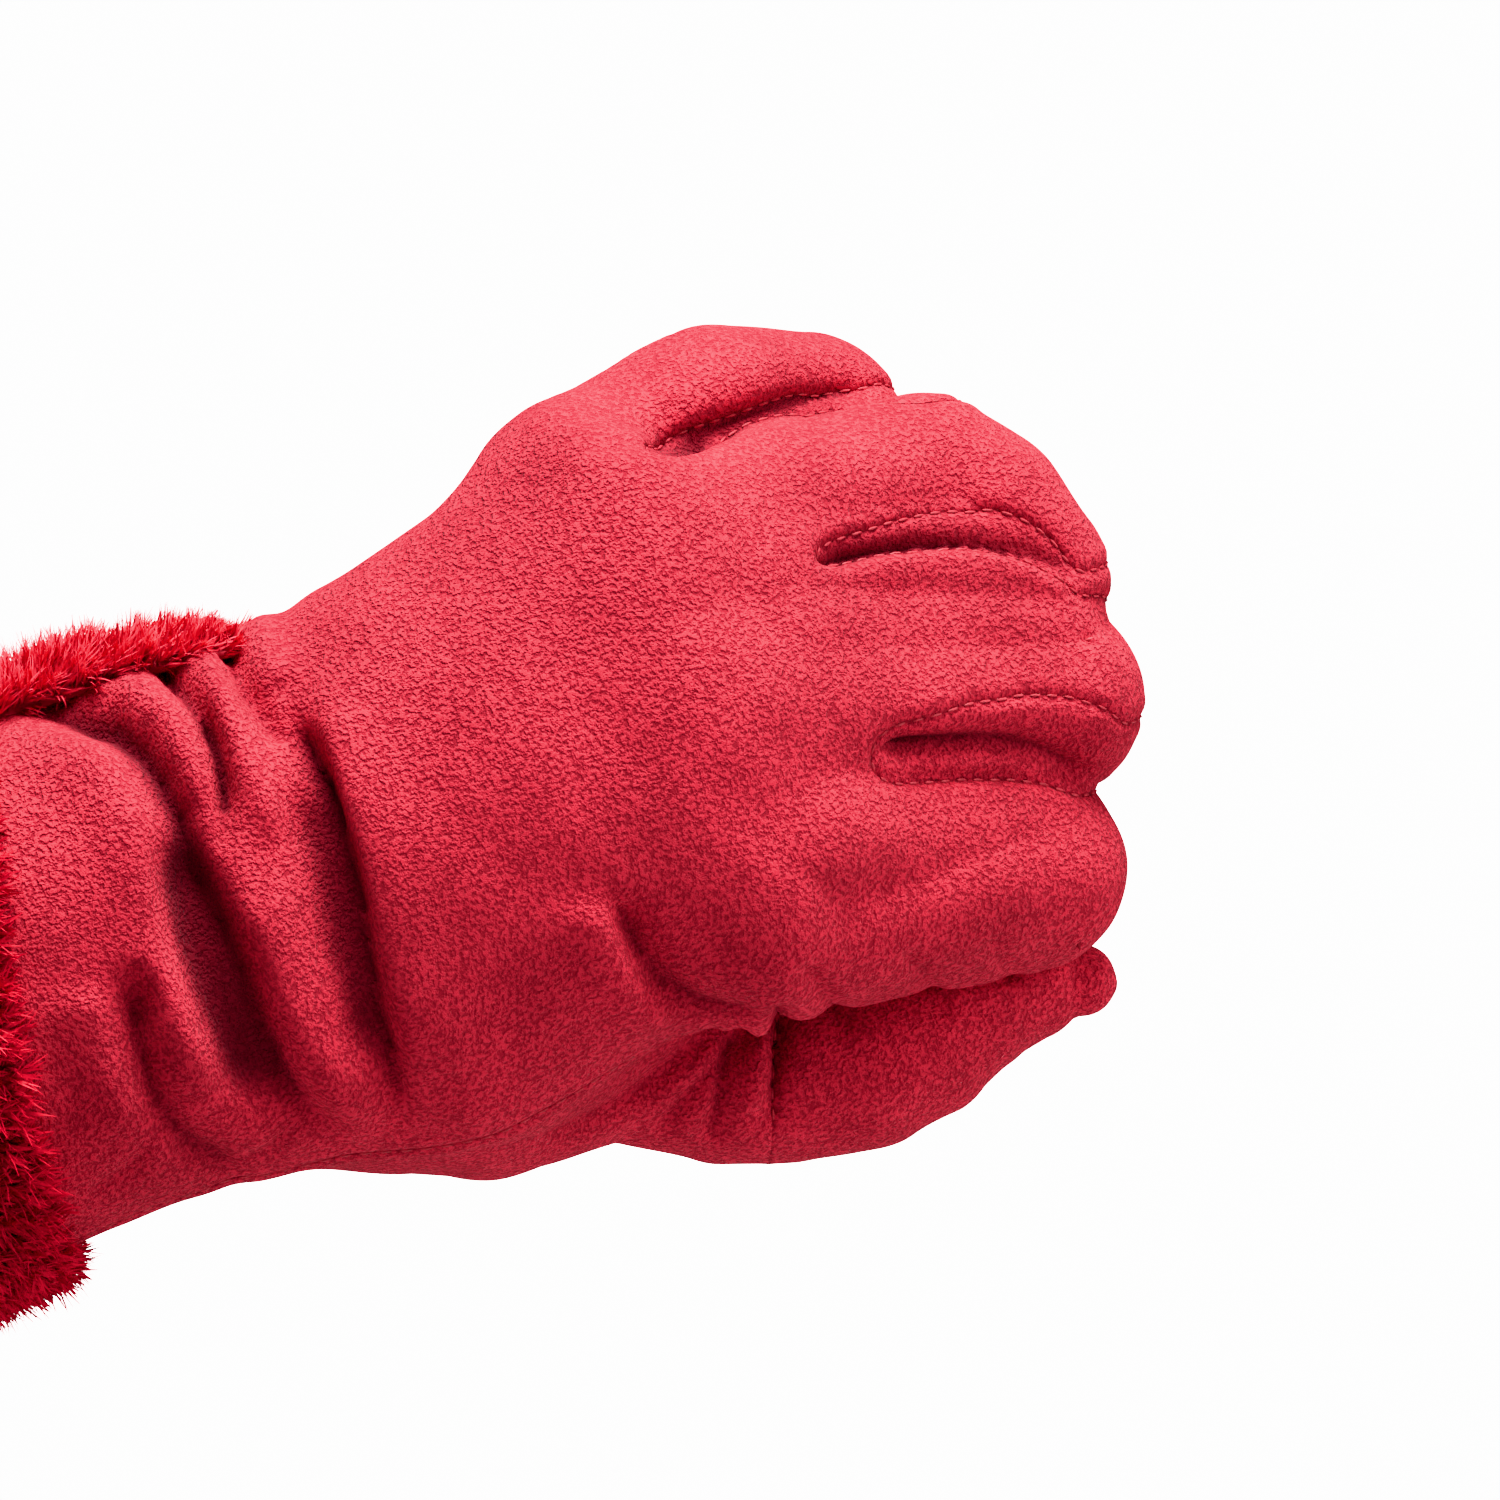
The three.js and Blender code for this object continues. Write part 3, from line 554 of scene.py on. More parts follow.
# The Z of one seam of a cleft, as rows of turn and Z, with the visible part found on the
# surface under its path.
def seamRows(cleft, which, points, normals):
    rows = []
    reach = 1.6
    facing = normals[:, 1] < 0.25  # leaves the palm side out
    for x, z in cleft[which]:
        near = facing & (np.abs(points[:, 0] - x) < reach) & (np.abs(points[:, 2] - z) < reach)
        if near.any():
            found = points[near][np.argmin(points[near][:, 1])]
            turn = turnAt(np.array([[x, found[1], z]]), cleft)[0]
            rows.append((turn, z))
    rows += [(row[0], row[1 if which == "upper" else 2]) for row in cleft["under"]]
    rows.sort()
    return rows


pieceNames = ["back_panel", "palm_panel", "thumb_stall", *clefts]


# Says which piece each point of the surface belongs to, by its place in pieceNames.
def pieceAt(points, rowsOf):
    x, y, z = points.T
    piece = np.where(backShare(points) > 0, 0, 1)
    for name, cleft in clefts.items():
        turn = turnAt(points, cleft)
        upper = np.interp(turn, *np.array(rowsOf[name, "upper"]).T)
        lower = np.interp(turn, *np.array(rowsOf[name, "lower"]).T)
        started = turn > min(rowsOf[name, "upper"][0][0], rowsOf[name, "lower"][0][0])
        core = np.hypot(x - cleft["middle"][0], y - cleft["middle"][1]) > cleftCore
        within = started & (turn < cleftEnd) & core & (z < upper) & (z > lower)
        piece = np.where(within, pieceNames.index(name), piece)
    others = [chain for name, chain in digits.items() if name != "thumb"]
    besides = np.minimum(handDistance(x, y, z), digitDistance(x, y, z, others))
    onThumb = x > thumbSeam["x"] + (z - thumbSeam["z"]) * thumbSeam["slant"]
    onThumb &= digitDistance(x, y, z, [digits["thumb"]]) < besides
    return np.where(onThumb, pieceNames.index("thumb_stall"), piece)


# The edges where two pieces meet, and those where the cuff ends.
def borderEdges(quads, piece):
    owner = np.tile(piece, 4)
    ordered = np.sort(sidesOf(quads), 1)
    unique, index, count = np.unique(ordered, axis=0, return_inverse=True, return_counts=True)
    index = index.ravel()
    highest = np.full(len(unique), -1)
    lowest = np.full(len(unique), 99)
    np.maximum.at(highest, index, owner)
    np.minimum.at(lowest, index, owner)
    return unique[highest != lowest], unique[count == 1]


# Smooths a border along itself, and leaves the points where several borders meet.
def smoothBorder(points, edges, rounds):
    degree = np.bincount(edges.ravel(), minlength=len(points))
    free = degree == 2
    for i in range(rounds):
        points = relax(points, edges, 0.5, free)
    return points, degree > 0


# The whole glove as one even mesh without folds, open at the cuff.
def makeForm():
    cell = gloveForm["cell"]
    low = np.array(gloveForm["gridLow"])
    xs, ys, zs = (np.arange(*ends, cell) for ends in zip(low, gloveForm["gridHigh"]))
    values = np.stack([formDistance(np.full((1, 1), x), ys[:, None], zs[None, :]) for x in xs])
    points, quads = surfaceNet(values, low, cell)
    points = settle(points, formDistance, 2, cell)
    edges = edgesOf(quads)
    for i in range(3):
        points = settle(relax(points, edges, 0.5), formDistance, 1, cell)
    quads = quads[points[quads].mean(1)[:, 0] > gloveForm["cuffEnd"]]
    used, place = np.unique(quads, return_inverse=True)
    return points[used], place.reshape(-1, 4), cell


# The glove's outside with its folds and seams, the piece of each face, and what the shells
# and the stitches need.
def makeGlove():
    points, quads, cell = makeForm()
    print("form:", len(points), "points")
    normals = normalsOf(points, quads)
    rowsOf = {
        (name, which): seamRows(cleft, which, points, normals)
        for name, cleft in clefts.items()
        for which in ("upper", "lower")
    }
    piece = pieceAt(points[quads].mean(1), rowsOf)
    seams, mouth = borderEdges(quads, piece)
    points, onSeam = smoothBorder(points, seams, gloveForm["seamRounds"])
    points[np.unique(mouth), 0] = gloveForm["cuffEnd"]
    edges = edgesOf(quads)
    inside = ~onSeam
    inside[np.unique(mouth)] = False
    for i in range(2):
        points = relax(points, edges, 0.4, inside)
    points = settle(points, formDistance, 1, cell)
    normals = normalsOf(points, quads)
    print("pieces:", np.bincount(piece))

    lift = relax(foldLift(points, normals)[:, None], edges, 0.3)[:, 0]
    points = relax(points + normals * lift[:, None], edges, 0.2, inside)

    marksPerEdge = 8
    tree = KDTree(len(seams) * marksPerEdge)
    marks = np.concatenate([
        points[seams[:, 0]] * (1 - t) + points[seams[:, 1]] * t
        for t in np.arange(marksPerEdge) / marksPerEdge
    ])
    for i, mark in enumerate(marks):
        tree.insert(mark, i)
    tree.balance()
    seamAway = np.array([tree.find(point)[2] for point in points])
    plain = 1 - smoothStep(*gloveForm["seamRunsOut"], points[:, 2])
    seamAway += gloveForm["plainAway"] * plain

    randoms = np.random.default_rng(seed)
    swell = np.zeros(len(points))
    for wavelength, number, height in gloveForm["swells"]:
        swell += unevenness(points, wavelength, number, randoms) * height
    groove = -gloveForm["grooveDepth"] * np.exp(-((seamAway / gloveForm["grooveWidth"]) ** 2))
    pipe = gloveForm["pipeRise"] * np.exp(
        -(((seamAway - gloveForm["pipeAway"]) / gloveForm["pipeWidth"]) ** 2)
    )
    points = points + normalsOf(points, quads) * (swell + groove + pipe)[:, None]
    sewn = seams[points[seams].mean(1)[:, 2] > gloveForm["stitchedAbove"]]
    return points, quads, piece, seamAway, lift, sewn


def newObject(name, data):
    made = bpy.data.objects.new(name, data)
    bpy.context.scene.collection.objects.link(made)
    return made


# Makes one closed shell from the faces of a piece: cloth outside, lining inside, and the
# cut edges between.
def makeShell(name, points, inner, quads, marks):
    used, place = np.unique(quads, return_inverse=True)
    quads = place.reshape(-1, 4)
    count = len(used)
    corners = np.concatenate([points[used], inner[used]]) * metresPerMm
    edges = sidesOf(quads)
    ordered = np.sort(edges, 1)
    index, times = np.unique(ordered, axis=0, return_inverse=True, return_counts=True)[1:]
    rim = edges[times[index.ravel()] == 1]
    sides = np.stack([rim[:, 1], rim[:, 0], rim[:, 0] + count, rim[:, 1] + count], 1)
    faces = np.concatenate([quads, quads[:, ::-1] + count, sides])
    mesh = bpy.data.meshes.new(name)
    mesh.from_pydata(corners.tolist(), [], faces.tolist())
    mesh.polygons.foreach_set("use_smooth", np.ones(len(faces), bool))
    for label, values in marks.items():
        layer = mesh.attributes.new(label, "FLOAT", "POINT")
        layer.data.foreach_set("value", np.tile(values[used], 2).astype(np.float32))
    mesh.validate()
    return newObject(name, mesh)


# Node helpers, for materials and for geometry alike. An input is a value or another
# node's output socket.
def addNode(tree, kind, inputs=None, **settings):
    node = tree.nodes.new(kind)
    for key, value in settings.items():
        setattr(node, key, value)
    for key, value in (inputs or {}).items():
        if isinstance(value, bpy.types.NodeSocket):
            tree.links.new(value, node.inputs[key])
        else:
            node.inputs[key].default_value = value
    return node


def mathNode(tree, operation, a, b=0.0, clamp=False):
    settings = {"operation": operation, "use_clamp": clamp}
    return addNode(tree, "ShaderNodeMath", {0: a, 1: b}, **settings).outputs[0]


def vectorMath(tree, operation, a, b):
    return addNode(tree, "ShaderNodeVectorMath", {0: a, 1: b}, operation=operation).outputs[0]


def scaleVector(tree, a, scale):
    inputs = {0: a, "Scale": scale}
    return addNode(tree, "ShaderNodeVectorMath", inputs, operation="SCALE").outputs[0]


def mapRange(tree, value, fromLow, fromHigh, toLow=0.0, toHigh=1.0):
    return addNode(tree, "ShaderNodeMapRange", {
        "Value": value,
        "From Min": fromLow,
        "From Max": fromHigh,
        "To Min": toLow,
        "To Max": toHigh,
    }, interpolation_type="SMOOTHSTEP").outputs[0]


def mixColour(tree, share, a, b, mode="MIX"):
    inputs = {0: share, 6: a, 7: b}
    settings = {"data_type": "RGBA", "blend_type": mode}
    return addNode(tree, "ShaderNodeMix", inputs, **settings).outputs[2]


def greyOf(tree, value):
    return addNode(tree, "ShaderNodeCombineColor", {0: value, 1: value, 2: value}).outputs[0]


def attributeOf(tree, name):
    return addNode(tree, "ShaderNodeAttribute", attribute_name=name).outputs["Fac"]


def noiseNode(tree, vector, scale, detail=2.0, roughness=0.5, distortion=0.0):
    return addNode(tree, "ShaderNodeTexNoise", {
        "Vector": vector,
        "Scale": scale,
        "Detail": detail,
        "Roughness": roughness,
        "Distortion": distortion,
    }).outputs


# Makes a node group from the names and kinds of its inputs and outputs.
def newGroup(name, kind, inputs, outputs):
    tree = bpy.data.node_groups.new(name, kind)
    for inOut, sockets in (("INPUT", inputs), ("OUTPUT", outputs)):
        for label, socketKind in sockets.items():
            tree.interface.new_socket(label, in_out=inOut, socket_type="NodeSocket" + socketKind)
    given = tree.nodes.new("NodeGroupInput").outputs
    return tree, given, tree.nodes.new("NodeGroupOutput").inputs


# Grain of a brushed cloth: nubs with dark pits between them, and soft patches.
def makeGrainGroup():
    inputs = {"Vector": "Vector", "Nub Scale": "Float", "Patch Scale": "Float"}
    outputs = {"Pile": "Float", "Fuzz": "Float", "Patches": "Float"}
    tree, given, out = newGroup("softGrain", "ShaderNodeTree", inputs, outputs)
    where, nubScale = given["Vector"], given["Nub Scale"]
    nubs = noiseNode(tree, where, nubScale, 1.2, 0.5, 0.1)["Fac"]
    cells = addNode(tree, "ShaderNodeTexVoronoi", {
        "Vector": where,
        "Scale": mathNode(tree, "MULTIPLY", nubScale, 0.55),
    }, feature="F1")
    gaps = mapRange(tree, cells.outputs["Distance"], 0.2, 0.85, 0.3, -0.3)  # dark between nubs
    pile = mathNode(tree, "ADD", mapRange(tree, nubs, 0.28, 0.66), gaps, True)
    fuzz = noiseNode(tree, where, mathNode(tree, "MULTIPLY", nubScale, 4.0), 2.0, 0.7)["Fac"]
    patches = noiseNode(tree, where, given["Patch Scale"], 3.0)["Fac"]
    for label, value in (("Pile", pile), ("Fuzz", fuzz), ("Patches", patches)):
        tree.links.new(value, out[label])
    return tree


fleeceLook = {
    "pit": (0.30, 0.022, 0.034, 1),
    "cloth": (0.58, 0.045, 0.067, 1),
    "nap": (0.80, 0.074, 0.102, 1),
    "napShare": 0.6,
    "patches": (0.86, 1.08),  # darkest and lightest patch
    "seamShade": 0.72,  # at the bottom of a seam
    # Painted shade: the fold colour below darkens the cloth at the bottom of deep folds, by the
    # share and the depths that follow it.
    "fold": (0.09, 0.009, 0.014, 1),  # at the bottom of a deep fold
    "foldShadeShare": 0.88,
    "foldShadeDepths": (-0.3, -4.4),  # mm at which a fold begins to darken and is darkest
    "grain": {"Nub Scale": 1900.0, "Patch Scale": 60.0},
    "bump": 0.00036,  # height of the nubs, m
    "fuzzHeight": 0.35,
}
fleeceShader = {
    "Roughness": 0.95,
    "Specular IOR Level": 0.15,
    "Sheen Weight": 0.05,
    "Sheen Roughness": 0.4,
    "Sheen Tint": (1.0, 0.6, 0.65, 1),
}


def newMaterial(name, plainValues):
    material = bpy.data.materials.new(name)
    material.use_nodes = True
    shader = material.node_tree.nodes["Principled BSDF"]
    for label, value in plainValues.items():
        shader.inputs[label].default_value = value
    return material, material.node_tree, shader


def makeFleece(grain):
    look = fleeceLook
    material, tree, shader = newMaterial("redFleece", fleeceShader)
    where = addNode(tree, "ShaderNodeTexCoord").outputs["Object"]
    inputs = {"Vector": where, **look["grain"]}
    pile, fuzz, patches = addNode(tree, "ShaderNodeGroup", inputs, node_tree=grain).outputs
    colour = mixColour(tree, pile, look["pit"], look["cloth"])
    nap = mathNode(tree, "MULTIPLY", mapRange(tree, fuzz, 0.5, 0.8), look["napShare"])
    colour = mixColour(tree, nap, colour, look["nap"])
    patch = mapRange(tree, patches, 0.3, 0.7, *look["patches"])
    seam = mapRange(tree, attributeOf(tree, "seamAway"), 0.0, 0.6, look["seamShade"], 1.0)
    for shade in (patch, seam):
        colour = mixColour(tree, 1.0, colour, greyOf(tree, shade), "MULTIPLY")
    # Painted shade in the folds: the deeper a fold sinks the cloth, the more its colour goes to the
    # dark fold colour.
    lift = attributeOf(tree, "foldLift")
    foldShadeMix = mapRange(tree, lift, *look["foldShadeDepths"], 0.0, look["foldShadeShare"])
    colour = mixColour(tree, foldShadeMix, colour, look["fold"])
    height = mathNode(tree, "ADD", pile, mathNode(tree, "MULTIPLY", fuzz, look["fuzzHeight"]))
    bump = addNode(tree, "ShaderNodeBump", {
        "Strength": 1.0,
        "Distance": look["bump"],
        "Height": height,
    })
    tree.links.new(colour, shader.inputs["Base Color"])
    tree.links.new(bump.outputs["Normal"], shader.inputs["Normal"])
    return material


# Strand colours from root to tip. The dark root colour is painted shade deep in the pile.
hemLook = {
    "root": (0.18, 0.004, 0.010, 1),
    "hair": (0.46, 0.010, 0.026, 1),
    "tip": (0.62, 0.016, 0.036, 1),
}
ventLook = {
    "root": (0.28, 0.018, 0.028, 1),
    "hair": (0.70, 0.044, 0.068, 1),
    "tip": (0.90, 0.096, 0.134, 1),
}
plushShader = {"Roughness": 0.6, "Specular IOR Level": 0.12}


def makePlush(name, look):
    material, tree, shader = newMaterial(name, plushShader)
    tip = attributeOf(tree, "tip")
    # Painted shade: each strand darkens towards its root, deep in the pile.
    colour = mixColour(tree, mapRange(tree, tip, 0.0, 0.55), look["root"], look["hair"])
    end = mapRange(tree, tip, 0.5, 1.0)
    pale = mathNode(tree, "MULTIPLY", end, attributeOf(tree, "strand"))
    colour = mixColour(tree, pale, colour, look["tip"])
    tree.links.new(colour, shader.inputs["Base Color"])
    return material


def readNamed(tree, name, kind="FLOAT"):
    inputs = {"Name": name}
    return addNode(tree, "GeometryNodeInputNamedAttribute", inputs, data_type=kind).outputs[0]


def storeNamed(tree, geometry, name, value, kind="FLOAT"):
    inputs = {"Geometry": geometry, "Name": name, "Value": value}
    settings = {"data_type": kind, "domain": "POINT"}
    return addNode(tree, "GeometryNodeStoreNamedAttribute", inputs, **settings).outputs["Geometry"]


def randomFloat(tree, low, high, number):
    inputs = {2: low, 3: high, "Seed": number}
    return addNode(tree, "FunctionNodeRandomValue", inputs, data_type="FLOAT").outputs[1]


# Ends a geometry tree with its material.
def endTree(tree, geometry, given, out):
    painted = addNode(tree, "GeometryNodeSetMaterial", {
        "Geometry": geometry,
        "Material": given["Material"],
    })
    tree.links.new(painted.outputs["Geometry"], out["Geometry"])
    return tree


strandInputs = {
    "Geometry": "Geometry", "Density": "Float", "Length": "Float", "Length Low": "Float",
    "Width": "Float", "Bend": "Float", "Segments": "Int", "Comb": "Vector", "Sway": "Float",
    "Sway Scale": "Float", "Scatter": "Float", "Tuft Scale": "Float", "Tuft Pull": "Float",
    "Seed": "Int", "Material": "Material",
}


# Strands that grow from a surface, lean with a comb and gather in tufts.
def makeStrandTree():
    tree, given, out = newGroup(
        "strands", "GeometryNodeTree", strandInputs, {"Geometry": "Geometry"}
    )
    cover = readNamed(tree, "cover")
    grown = mathNode(tree, "GREATER_THAN", cover, 0.05)
    scattered = addNode(tree, "GeometryNodeDistributePointsOnFaces", {
        "Mesh": given["Geometry"],
        "Density": mathNode(tree, "MULTIPLY", given["Density"], grown),
        "Seed": given["Seed"],
    }, distribute_method="RANDOM")
    place = addNode(tree, "GeometryNodeInputPosition").outputs[0]
    rooted = storeNamed(tree, scattered.outputs["Points"], "root", place, "FLOAT_VECTOR")
    marked = storeNamed(tree, rooted, "strand", randomFloat(tree, 0.0, 1.0, given["Seed"]))

    sway = noiseNode(tree, place, given["Sway Scale"], 1.0)["Color"]
    swayed = vectorMath(tree, "SUBTRACT", sway, (0.5, 0.5, 0.5))
    aside = addNode(tree, "FunctionNodeRandomValue", {
        0: (-1, -1, -1),
        1: (1, 1, 1),
        "Seed": mathNode(tree, "ADD", given["Seed"], 11),
    }, data_type="FLOAT_VECTOR").outputs[0]
    direction = vectorMath(tree, "ADD", scattered.outputs["Normal"], given["Comb"])
    for lean, amount in ((swayed, "Sway"), (aside, "Scatter")):
        direction = vectorMath(tree, "ADD", direction, scaleVector(tree, lean, given[amount]))
    upright = addNode(tree, "FunctionNodeAlignRotationToVector", {"Vector": direction}, axis="Z")
    turn = randomFloat(tree, 0.0, 2 * math.pi, mathNode(tree, "ADD", given["Seed"], 23))
    spin = addNode(tree, "FunctionNodeAxisAngleToRotation", {"Axis": (0, 0, 1), "Angle": turn})
    rotation = addNode(tree, "FunctionNodeRotateRotation", {
        "Rotation": upright.outputs[0],
        "Rotate By": spin.outputs[0],
    }, rotation_space="LOCAL")
    long = randomFloat(tree, given["Length Low"], 1.0, mathNode(tree, "ADD", given["Seed"], 37))
    length = mathNode(tree, "MULTIPLY", long, given["Length"])
    length = mathNode(tree, "MULTIPLY", length, cover)
    size = addNode(tree, "ShaderNodeCombineXYZ", {0: given["Width"], 1: length, 2: length})

    # One blade, 1 long: it narrows to its tip and bends over.
    blade = addNode(tree, "GeometryNodeMeshGrid", {
        "Size X": 1.0,
        "Size Y": 1.0,
        "Vertices X": 2,
        "Vertices Y": mathNode(tree, "ADD", given["Segments"], 1),
    })
    parts = addNode(tree, "ShaderNodeSeparateXYZ", {0: place}).outputs
    up = mathNode(tree, "ADD", parts[1], 0.5)
    upSquared = mathNode(tree, "POWER", up, 2.0)
    taper = mathNode(tree, "SUBTRACT", 1.0, mathNode(tree, "MULTIPLY", upSquared, 0.85))
    shaped = addNode(tree, "ShaderNodeCombineXYZ", {
        0: mathNode(tree, "MULTIPLY", parts[0], taper),
        1: mathNode(tree, "MULTIPLY", upSquared, given["Bend"]),
        2: up,
    })
    curved = addNode(tree, "GeometryNodeSetPosition", {
        "Geometry": storeNamed(tree, blade.outputs["Mesh"], "tip", up),
        "Position": shaped.outputs[0],
    })
    planted = addNode(tree, "GeometryNodeInstanceOnPoints", {
        "Points": marked,
        "Instance": curved.outputs["Geometry"],
        "Rotation": rotation.outputs[0],
        "Scale": size.outputs[0],
    })
    real = addNode(tree, "GeometryNodeRealizeInstances", {"Geometry": planted.outputs[0]})

    # The tips gather towards the middles of tufts.
    root = readNamed(tree, "root", "FLOAT_VECTOR")
    tuft = addNode(tree, "ShaderNodeTexVoronoi", {"Vector": root, "Scale": given["Tuft Scale"]})
    pull = mathNode(tree, "POWER", readNamed(tree, "tip"), 1.5)
    pull = mathNode(tree, "MULTIPLY", pull, given["Tuft Pull"])
    towards = vectorMath(tree, "SUBTRACT", tuft.outputs["Position"], root)
    gathered = addNode(tree, "GeometryNodeSetPosition", {
        "Geometry": real.outputs["Geometry"],
        "Offset": scaleVector(tree, towards, pull),
    })
    return endTree(tree, gathered.outputs["Geometry"], given, out)


# Runs a node tree on a base object, with values for its named inputs, and gives back what
# it makes as a plain mesh.
def runTree(tree, base, values):
    modifier = base.modifiers.new(tree.name, "NODES")
    modifier.node_group = tree
    for item in tree.interface.items_tree:
        if item.in_out == "INPUT" and item.name in values:
            modifier[item.identifier] = values[item.name]
    evaluated = base.evaluated_get(bpy.context.evaluated_depsgraph_get())
    mesh = bpy.data.meshes.new_from_object(evaluated)
    base.modifiers.remove(modifier)
    return mesh


# A point on the section's outline, at an angle in degrees: 0 at the little-finger side and
# 90 at the back.
def outlinePoint(x, degrees, grow):
    at = sectionAt(x)
    angle = np.radians(degrees)
    alongDepth, alongHeight = -np.sin(angle), np.cos(angle)
    power = at["squareness"]
    scale = (
        np.abs(alongDepth / (at["halfDepth"] + grow)) ** power
        + np.abs(alongHeight / (at["halfHeight"] + grow)) ** power
    ) ** (-1 / power)
    return np.stack([
        x + 0 * scale,
        at["depthMid"] + alongDepth * scale,
        at["heightMid"] + alongHeight * scale,
    ], -1)


# A closed mesh over rings of points, joined end to end or capped. Cover is how long the
# strands grow at each point.
def meshFromRings(name, rings, closed, cover):
    count, around = rings.shape[:2]
    faces = []
    for r in range(count if closed else count - 1):
        for i in range(around):
            j = (i + 1) % around
            up = (r + 1) % count
            faces.append((r * around + i, r * around + j, up * around + j, up * around + i))
    if not closed:
        faces.append(tuple(range(around))[::-1])
        faces.append(tuple((count - 1) * around + i for i in range(around)))
    corners = rings.reshape(-1, 3) * metresPerMm
    mesh = bpy.data.meshes.new(name)
    mesh.from_pydata(corners.tolist(), [], faces)
    mesh.polygons.foreach_set("use_smooth", np.ones(len(faces), bool))
    layer = mesh.attributes.new("cover", "FLOAT", "POINT")
    layer.data.foreach_set("value", np.asarray(cover, np.float32).ravel())
    if np.linalg.det(corners[[face[:3] for face in faces]]).sum() < 0:
        mesh.flip_normals()
    return newObject(name, mesh)


def joinMesh(piece, mesh):
    extra = newObject("extra", mesh)
    both = {"active_object": piece, "selected_editable_objects": [piece, extra]}
    with bpy.context.temp_override(**both):
        bpy.ops.object.join()


stitchInputs = {
    "Geometry": "Geometry", "Spacing": "Float", "Length": "Float", "Thickness": "Float",
    "Material": "Material",
}


# Small stitches at even steps along a line of edges.
def makeStitchTree():
    tree, given, out = newGroup(
        "stitchRow", "GeometryNodeTree", stitchInputs, {"Geometry": "Geometry"}
    )
    line = addNode(tree, "GeometryNodeMeshToCurve", {"Mesh": given["Geometry"]})
    even = addNode(tree, "GeometryNodeResampleCurve", {
        "Curve": line.outputs["Curve"],
        "Length": given["Spacing"],
    }, mode="LENGTH")
    along = addNode(tree, "GeometryNodeInputTangent").outputs[0]
    turned = addNode(tree, "FunctionNodeAlignRotationToVector", {"Vector": along}, axis="X")
    thread = addNode(tree, "GeometryNodeMeshUVSphere", {"Segments": 5, "Rings": 4, "Radius": 0.5})
    thick = given["Thickness"]
    size = addNode(tree, "ShaderNodeCombineXYZ", {0: given["Length"], 1: thick, 2: thick})
    sewn = addNode(tree, "GeometryNodeInstanceOnPoints", {
        "Points": even.outputs["Curve"],
        "Instance": thread.outputs["Mesh"],
        "Rotation": turned.outputs[0],
        "Scale": size.outputs[0],
    })
    real = addNode(tree, "GeometryNodeRealizeInstances", {"Geometry": sewn.outputs[0]})
    return endTree(tree, real.outputs["Geometry"], given, out)


stitchForm = {
    "lift": 0.1,  # how far the thread lies above the seam
    "colour": (0.44, 0.032, 0.048, 1),
    "twistScale": 2500.0,
    "row": {"Spacing": 0.0027, "Length": 0.0019, "Thickness": 0.00042},
}


def makeStitches(points, normals, sewn):
    material, tree, shader = newMaterial("redThread", {"Roughness": 0.6})
    where = addNode(tree, "ShaderNodeTexCoord").outputs["Object"]
    twist = noiseNode(tree, where, stitchForm["twistScale"])["Fac"]
    shade = greyOf(tree, mapRange(tree, twist, 0.3, 0.7, 0.7, 1.1))
    colour = mixColour(tree, 1.0, stitchForm["colour"], shade, "MULTIPLY")
    tree.links.new(colour, shader.inputs["Base Color"])
    used, place = np.unique(sewn, return_inverse=True)
    raised = points[used] + normals[used] * stitchForm["lift"]
    mesh = bpy.data.meshes.new("seamLine")
    mesh.from_pydata((raised * metresPerMm).tolist(), place.reshape(-1, 2).tolist(), [])
    line = newObject("seamLine", mesh)
    threads = runTree(makeStitchTree(), line, {**stitchForm["row"], "Material": material})
    bpy.data.objects.remove(line)
    print("stitches:", len(threads.polygons), "faces")
    return threads


# The plush band that is rolled over the end of the cuff. Its front edge slants.
hemForm = {
    "frontMid": -32.7,  # X of its front edge
    "frontSlant": 5.3,
    "around": 96,  # points round the cuff
    "strands": {
        "Density": 3.9e6,  # for each square metre of backing
        "Length": 0.0050,
        "Length Low": 0.6,  # the shortest, as a share of the longest
        "Width": 0.00066,
        "Bend": 0.6,
        "Segments": 3,
        "Comb": (0.9, 0.0, -0.1),
        "Sway": 1.2,
        "Sway Scale": 130.0,
        "Scatter": 0.28,
        "Tuft Scale": 340.0,
        "Tuft Pull": 0.8,
        "Seed": seed,
    },
}
hemProfile = readTable(
    ("fromFront", "x", "grow", "cover"),
    [
        # 1 where X counts from the front edge, X, way out from the cuff, length of the strands
        (1, -3.2, 0.5, 1),
        (1, -4.2, 1.5, 1),
        (1, -7, 2.3, 1),
        (1, -10, 2.6, 1),
        (0, -48, 2.8, 1),
        (0, -52, 3.0, 1),
        (0, -56.5, 2.4, 1),
        (0, -58.2, 0.4, 1),
        (0, -57, -1.9, 0.7),
        (0, -53, -2.6, 0),
        (0, -53, 0.6, 0),
    ],
)


# Covers a backing with strands, which become part of its mesh.
def growPlush(tree, backing, plush, strands):
    backing.data.materials.append(plush)
    density = strands["Density"] * 1
    values = {**strands, "Density": density, "Material": plush}
    joinMesh(backing, runTree(tree, backing, values))
    return backing


def makeHem(tree, plush):
    degrees = np.arange(hemForm["around"]) * 360 / hemForm["around"]
    front = hemForm["frontMid"] + hemForm["frontSlant"] * np.cos(np.radians(degrees))
    rings = []
    cover = []
    for fromFront, x, grow, share in zip(*hemProfile.values()):
        along = front + x if fromFront else np.full(len(degrees), x)
        rings.append(outlinePoint(along, degrees, grow))
        cover.append(np.full(len(degrees), share))
    band = meshFromRings("fur_hem", np.array(rings), True, cover)
    return growPlush(tree, band, plush, hemForm["strands"])


